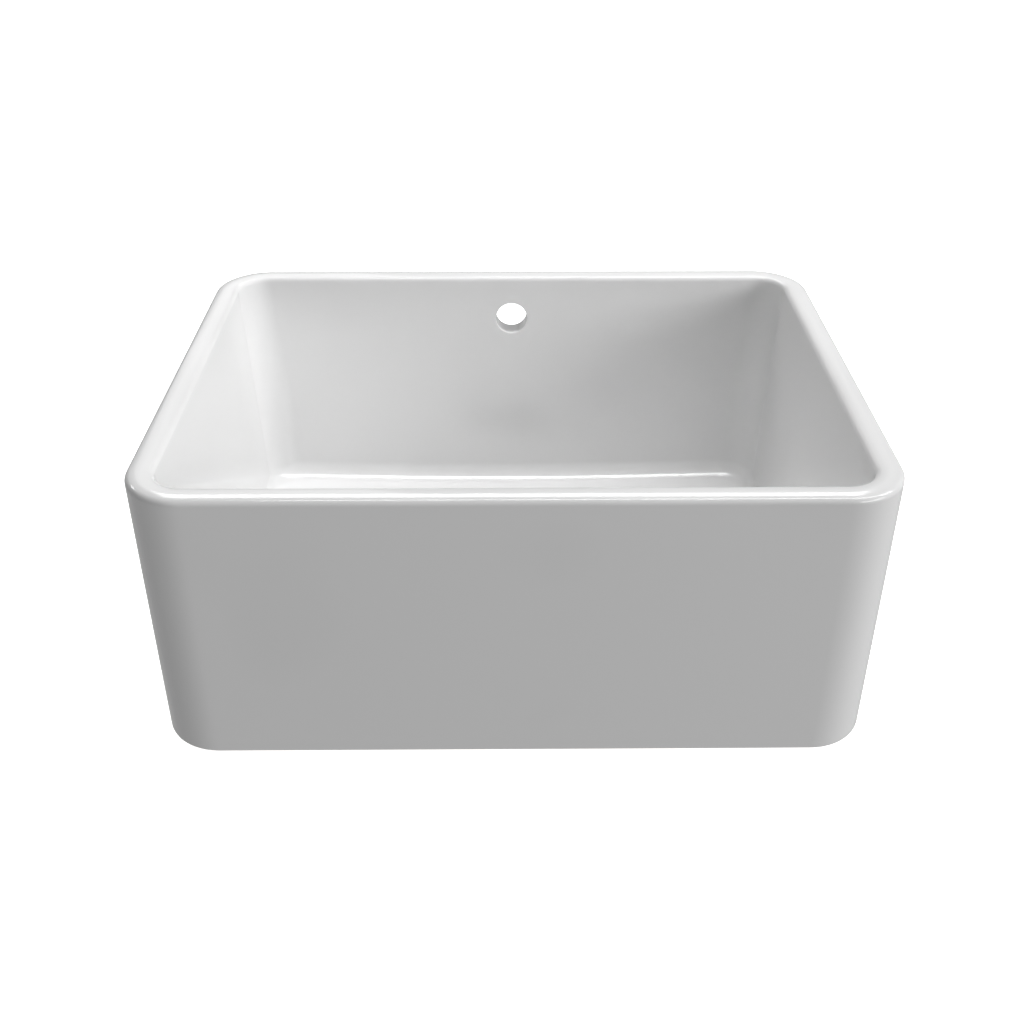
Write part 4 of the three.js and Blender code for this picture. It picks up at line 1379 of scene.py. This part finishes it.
@dataclass
class LiftOutBasket:
    """What lifts out: the basket with its knob, and the bung and stem below it."""

    fit: WasteSizes
    bung_thickness: float = 3.4
    nut: float = 10.0
    nut_height: float = 2.6
    nut_clearance: float = 1.0
    backing: float = 15.0
    below_cup: float = 12.0
    below_flange: float = 3.4
    bead: float = 2.4
    top_gap: float = 3.0
    taper: float = 3.0
    slot: float = 3.4
    wall_slots: int = 16
    floor_slots: int = 10
    basket_round: float = 4.0
    knob_height: float = 22.0
    knob_head: float = 8.0
    knob: float = 12.0
    knob_neck: float = 5.4
    knob_foot: float = 8.0

    def __post_init__(self) -> None:
        """Works out the radii and levels from the bung's lip to the knob's top."""
        fit = self.fit
        self.stem = fit.bolt_bore - 0.7
        self.hole = self.stem + fit.running
        self.bung_bottom = fit.cup_floor + fit.gap
        self.nut_bottom = fit.head_top + self.nut_clearance
        self.bung_top = self.nut_bottom + self.nut_height + fit.gap + self.bung_thickness
        self.basket_under = self.bung_top + 2 * fit.gap + fit.sheet
        self.basket_floor = self.basket_under + fit.sheet
        self.basket_top = fit.flange_top - self.below_flange
        self.knob_bottom = self.basket_floor + fit.gap
        self.knob_top = self.knob_bottom + self.knob_height

    def build_stem(self) -> None:
        """The stem with its split, sprung end, and the nut that holds the bung."""
        tip, top = self.fit.cup_floor - self.below_cup, self.knob_top - self.knob_head
        profile = [
            [0, tip], [self.stem - 1.0, tip, 0.3], [self.fit.bolt_bore - 0.3, tip + 3.5, 1.5],
            [self.stem - 0.4, tip + 7, 2.0], [self.stem, tip + 9, 2.0], [self.stem, top, 0.3], [0, top],
        ]
        pin = turned(profile, facets=48)
        split = prism(bar(-2 * self.stem, 2 * self.stem, 1.2), tip - OVER, tip - OVER + self.below_cup)
        finished(combine(pin, split, Cut.AWAY), STAINLESS, Body.STOPPER, "basket_stem")
        nut = prism(hexagon(self.nut, 0.3), self.nut_bottom, self.nut_bottom + self.nut_height, steps=3)
        bore = rod(self.hole, self.nut_bottom - OVER, self.bung_top, 48)
        finished(combine(nut, bore, Cut.AWAY), STAINLESS, Body.STOPPER, "stem_nut")

    def build_bung(self) -> None:
        """The rubber bung and the steel washer that backs it."""
        fit, low, top = self.fit, self.bung_bottom, self.bung_top
        profile = [
            [self.hole, top - self.bung_thickness], [fit.bolt_head + 5, top - self.bung_thickness, 2.0],
            [fit.bung - 5, low, 0.8], [fit.bung, low, 0.8], [fit.bung - 1.5, low + 4, 0.9],
            [self.backing + 2, top, 3.0], [self.hole, top],
        ]
        dome = turned(profile)
        finished(dome, RUBBER, Body.STOPPER, "stopper_bung")
        ring = washer(self.hole, self.backing, top + fit.gap, fit.sheet, 0.25)
        finished(ring, STAINLESS, Body.STOPPER, "backing_washer")

    def build_knob(self) -> None:
        """The turned knob that the basket is lifted by."""
        low, top = self.knob_bottom, self.knob_top
        blind = top - self.knob_head + self.fit.gap
        profile = [
            [0, blind], [self.hole, blind], [self.hole, low], [self.knob_foot, low, 0.2],
            [self.knob_foot, low + 2, 1.0], [self.knob_neck, low + 4, 2.0],
            [self.knob_neck, top - self.knob_head, 3.0], [self.knob, top - 5, 1.6],
            [self.knob - 1.5, top - 1, 2.0], [0, top],
        ]
        form = turned(profile, facets=72, steps=8)
        finished(form, STAINLESS, Body.STOPPER, "basket_knob")

    def build_basket(self) -> None:
        """The pressed basket, with slots round its wall and spokes of slots in its floor."""
        sheet, soft, bead = self.fit.sheet, self.basket_round, self.bead
        low, high, floor = self.basket_under, self.basket_top, self.basket_floor
        top = self.fit.cup_inside - self.top_gap - bead
        bottom = top - self.taper
        full = bead * 0.45
        profile = [
            [self.hole, low], [bottom + sheet, low, soft + sheet], [top + sheet, high - bead, 0.3],
            [top + bead, high - bead, full], [top + bead, high, full], [top, high, full],
            [bottom, floor, soft], [self.hole, floor],
        ]
        shell = turned(profile, facets=128, steps=8)
        foot, head = (low + (high - low) * share for share in (0.35, 0.75))
        round_end = self.slot / 2 - ROUND_END
        upright = prism(bar(foot, head, self.slot, round_end), bottom - soft, top + soft)
        in_wall = round_axis(moved(upright, quarter("Y", -1), quarter("Z", 2)), self.wall_slots, STAINLESS)
        spoke = prism(bar(self.knob_foot + 3, bottom - 6, self.slot, round_end), low - OVER, floor + OVER)
        basket = combine(shell, in_wall, Cut.AWAY)
        combine(basket, round_axis(spoke, self.floor_slots, STAINLESS), Cut.AWAY)
        finished(basket, STAINLESS, Body.BASKET, "basket_cup")

    def build(self) -> None:
        """Makes every piece that lifts out."""
        self.build_stem()
        self.build_bung()
        self.build_knob()
        self.build_basket()


# ---- The studio -------------------------------------------------------------------------------------


@dataclass(frozen=True)
class Panel:
    """A soft light of even brightness, hung round the sink and turned to it.

    The azimuth goes round from +X to +Y and the elevation up from the horizon, in degrees. Width, height and
    distance are metres. Brightness is that of white paper in full light. A spread below 180 degrees is a grid
    of cells over the light, which keeps it off what stands to the side.
    """

    name: str
    azimuth: float
    elevation: float
    width: float
    height: float
    brightness: float
    distance: float
    aim: tuple[float, float, float] = (0.0, 0.0, 0.12)
    spread: float = 180.0

    def hang(self) -> None:
        """Hangs the light and turns it to what it lights."""
        lamp = bpy.data.lights.new(self.name, "AREA")
        lamp.shape, lamp.size, lamp.size_y = "RECTANGLE", self.width, self.height
        lamp.energy = self.brightness * math.pi * self.width * self.height
        lamp.spread = math.radians(self.spread)
        round_it, up = math.radians(self.azimuth), math.radians(self.elevation)
        way = Vector((math.cos(up) * math.cos(round_it), math.cos(up) * math.sin(round_it), math.sin(up)))
        hung = bpy.data.objects.new(self.name, lamp)
        hung.location = Vector(self.aim) + way * self.distance
        hung.rotation_euler = (-way).to_track_quat("-Z", "Y").to_euler()
        hung.visible_camera = False
        bpy.context.scene.collection.objects.link(hung)


@dataclass
class Studio:
    """The photographer's room: white paper all round, soft panels and the camera."""

    eye: tuple[float, float, float] = (-0.0090, -0.9862, 0.7215)
    pitch: float = 32.54
    yaw: float = 0.46
    roll: float = 0.03
    lens: float = 43.12
    table: float = -0.0812
    paper: float = 12.0
    paper_colour: str = "#f4f4f4"
    # painted glow at the top of the paper's wall, as a share of the glow on the floor
    painted_glow_at_top: float = 0.6
    panels: tuple[Panel, ...] = (
        Panel("key_panel", -38, 16, 4.3, 1.85, 5.27, 6.07),
        Panel("right_panel", 5.1, 66, 0.81, 5.4, 8.23, 3.51),
        Panel("rear_panel", 90, 45.5, 2.22, 0.53, 5.1, 2.6),
        Panel("rear_left_panel", 110, 30, 0.9, 0.91, 1.0, 2.6),
        Panel("corner_lamp", 148, 33, 0.3, 0.22, 14.0, 2.6),
        Panel("cove_strip", 90, 90, 0.66, 0.27, 0.205, 1.2, aim=(0.03, 0.14, 0.03), spread=35),
    )
    floor_bounce: float = 0.49
    horizon: float = 0.15  # half of the band in which the floor's bounce ends, as a sine

    def place_camera(self) -> None:
        """Sets the camera at the photograph's viewing angle, found from the sink's outline and rim."""
        camera = bpy.data.cameras.new("photo_camera")
        camera.lens, camera.sensor_width, camera.clip_start, camera.clip_end = self.lens, 36.0, 0.01, 50.0
        held = bpy.data.objects.new("photo_camera", camera)
        held.location = self.eye
        turns = (-self.yaw, "Z"), (90 - self.pitch, "X"), (self.roll, "Z")
        round_z, down, rolled = (Matrix.Rotation(math.radians(turn), 3, axis) for turn, axis in turns)
        held.rotation_euler = (round_z @ down @ rolled).to_euler()
        bpy.context.scene.collection.objects.link(held)
        bpy.context.scene.camera = held

    def hang_paper(self) -> None:
        """Lays white paper under the waste and up round the room, glowing: a painted light, even on the
        floor, that falls off to pale grey up the wall.

        Only the camera sees it. Its light is the room's, so that it throws no shade back at the glaze.
        """
        radius, level = self.paper / MM, self.table / MM
        dome = [[radius * math.cos(a), level + radius * math.sin(a)] for a in arc(0, QUARTER_TURN, 24)]
        paper = piece("studio_paper", turned([[0, level], *dome]))
        white = bpy.data.materials.new("seamless_paper")
        white.use_nodes = True
        tree = white.node_tree
        tree.nodes.clear()
        height = add(tree, "ShaderNodeSeparateXYZ", [add(tree, "ShaderNodeTexCoord").outputs["Object"]])
        # Painted fall-off of light: the paper's glow is full on the floor and dims with height up the wall.
        rise = [height.outputs["Z"], self.table, self.paper / 4, 1.0, self.painted_glow_at_top]
        glow = add(tree, RANGE, rise, interpolation_type="SMOOTHSTEP")
        feed = {"Base Color": linear(self.paper_colour), "Roughness": 0.9}
        # The emission is painted light: it makes the paper look lit white, though it is no lamp.
        feed |= {"Emission Color": linear("#ffffff"), "Emission Strength": glow}
        add(tree, "ShaderNodeOutputMaterial", [add(tree, "ShaderNodeBsdfPrincipled", feed)])
        white.cycles.emission_sampling = "NONE"
        paper.data.materials.append(white)
        paper.visible_diffuse = paper.visible_glossy = False
        paper.visible_shadow = paper.visible_transmission = False

    def light(self) -> None:
        """Hangs the panels, in a dark room whose pale floor throws light back up."""
        for panel in self.panels:
            panel.hang()
        room = bpy.data.worlds.new("studio_room")
        room.use_nodes = True
        tree = room.node_tree
        tree.nodes.clear()
        way = add(tree, "ShaderNodeSeparateXYZ", [add(tree, "ShaderNodeTexCoord").outputs["Generated"]])
        fall = [way.outputs["Z"], -self.horizon, self.horizon, self.floor_bounce, 0.0]
        glow = add(tree, RANGE, fall)
        back = add(tree, "ShaderNodeBackground", [linear("#ffffff"), glow])
        add(tree, "ShaderNodeOutputWorld", [back])
        scene = bpy.context.scene
        scene.world = room
        scene.view_settings.view_transform = "Standard"
        scene.view_settings.look = "None"

    def build(self) -> None:
        """Makes the room."""
        self.place_camera()
        self.hang_paper()
        self.light()


def main() -> None:
    """Builds the sink, its waste and the room."""
    logging.basicConfig(level=logging.INFO, format="%(name)s: %(message)s")
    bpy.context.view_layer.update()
    Studio().build()
    Casting().build()
    fit = WasteSizes()
    ClampedWaste(fit).build()
    LiftOutBasket(fit).build()


if __name__ == "__main__":
    main()
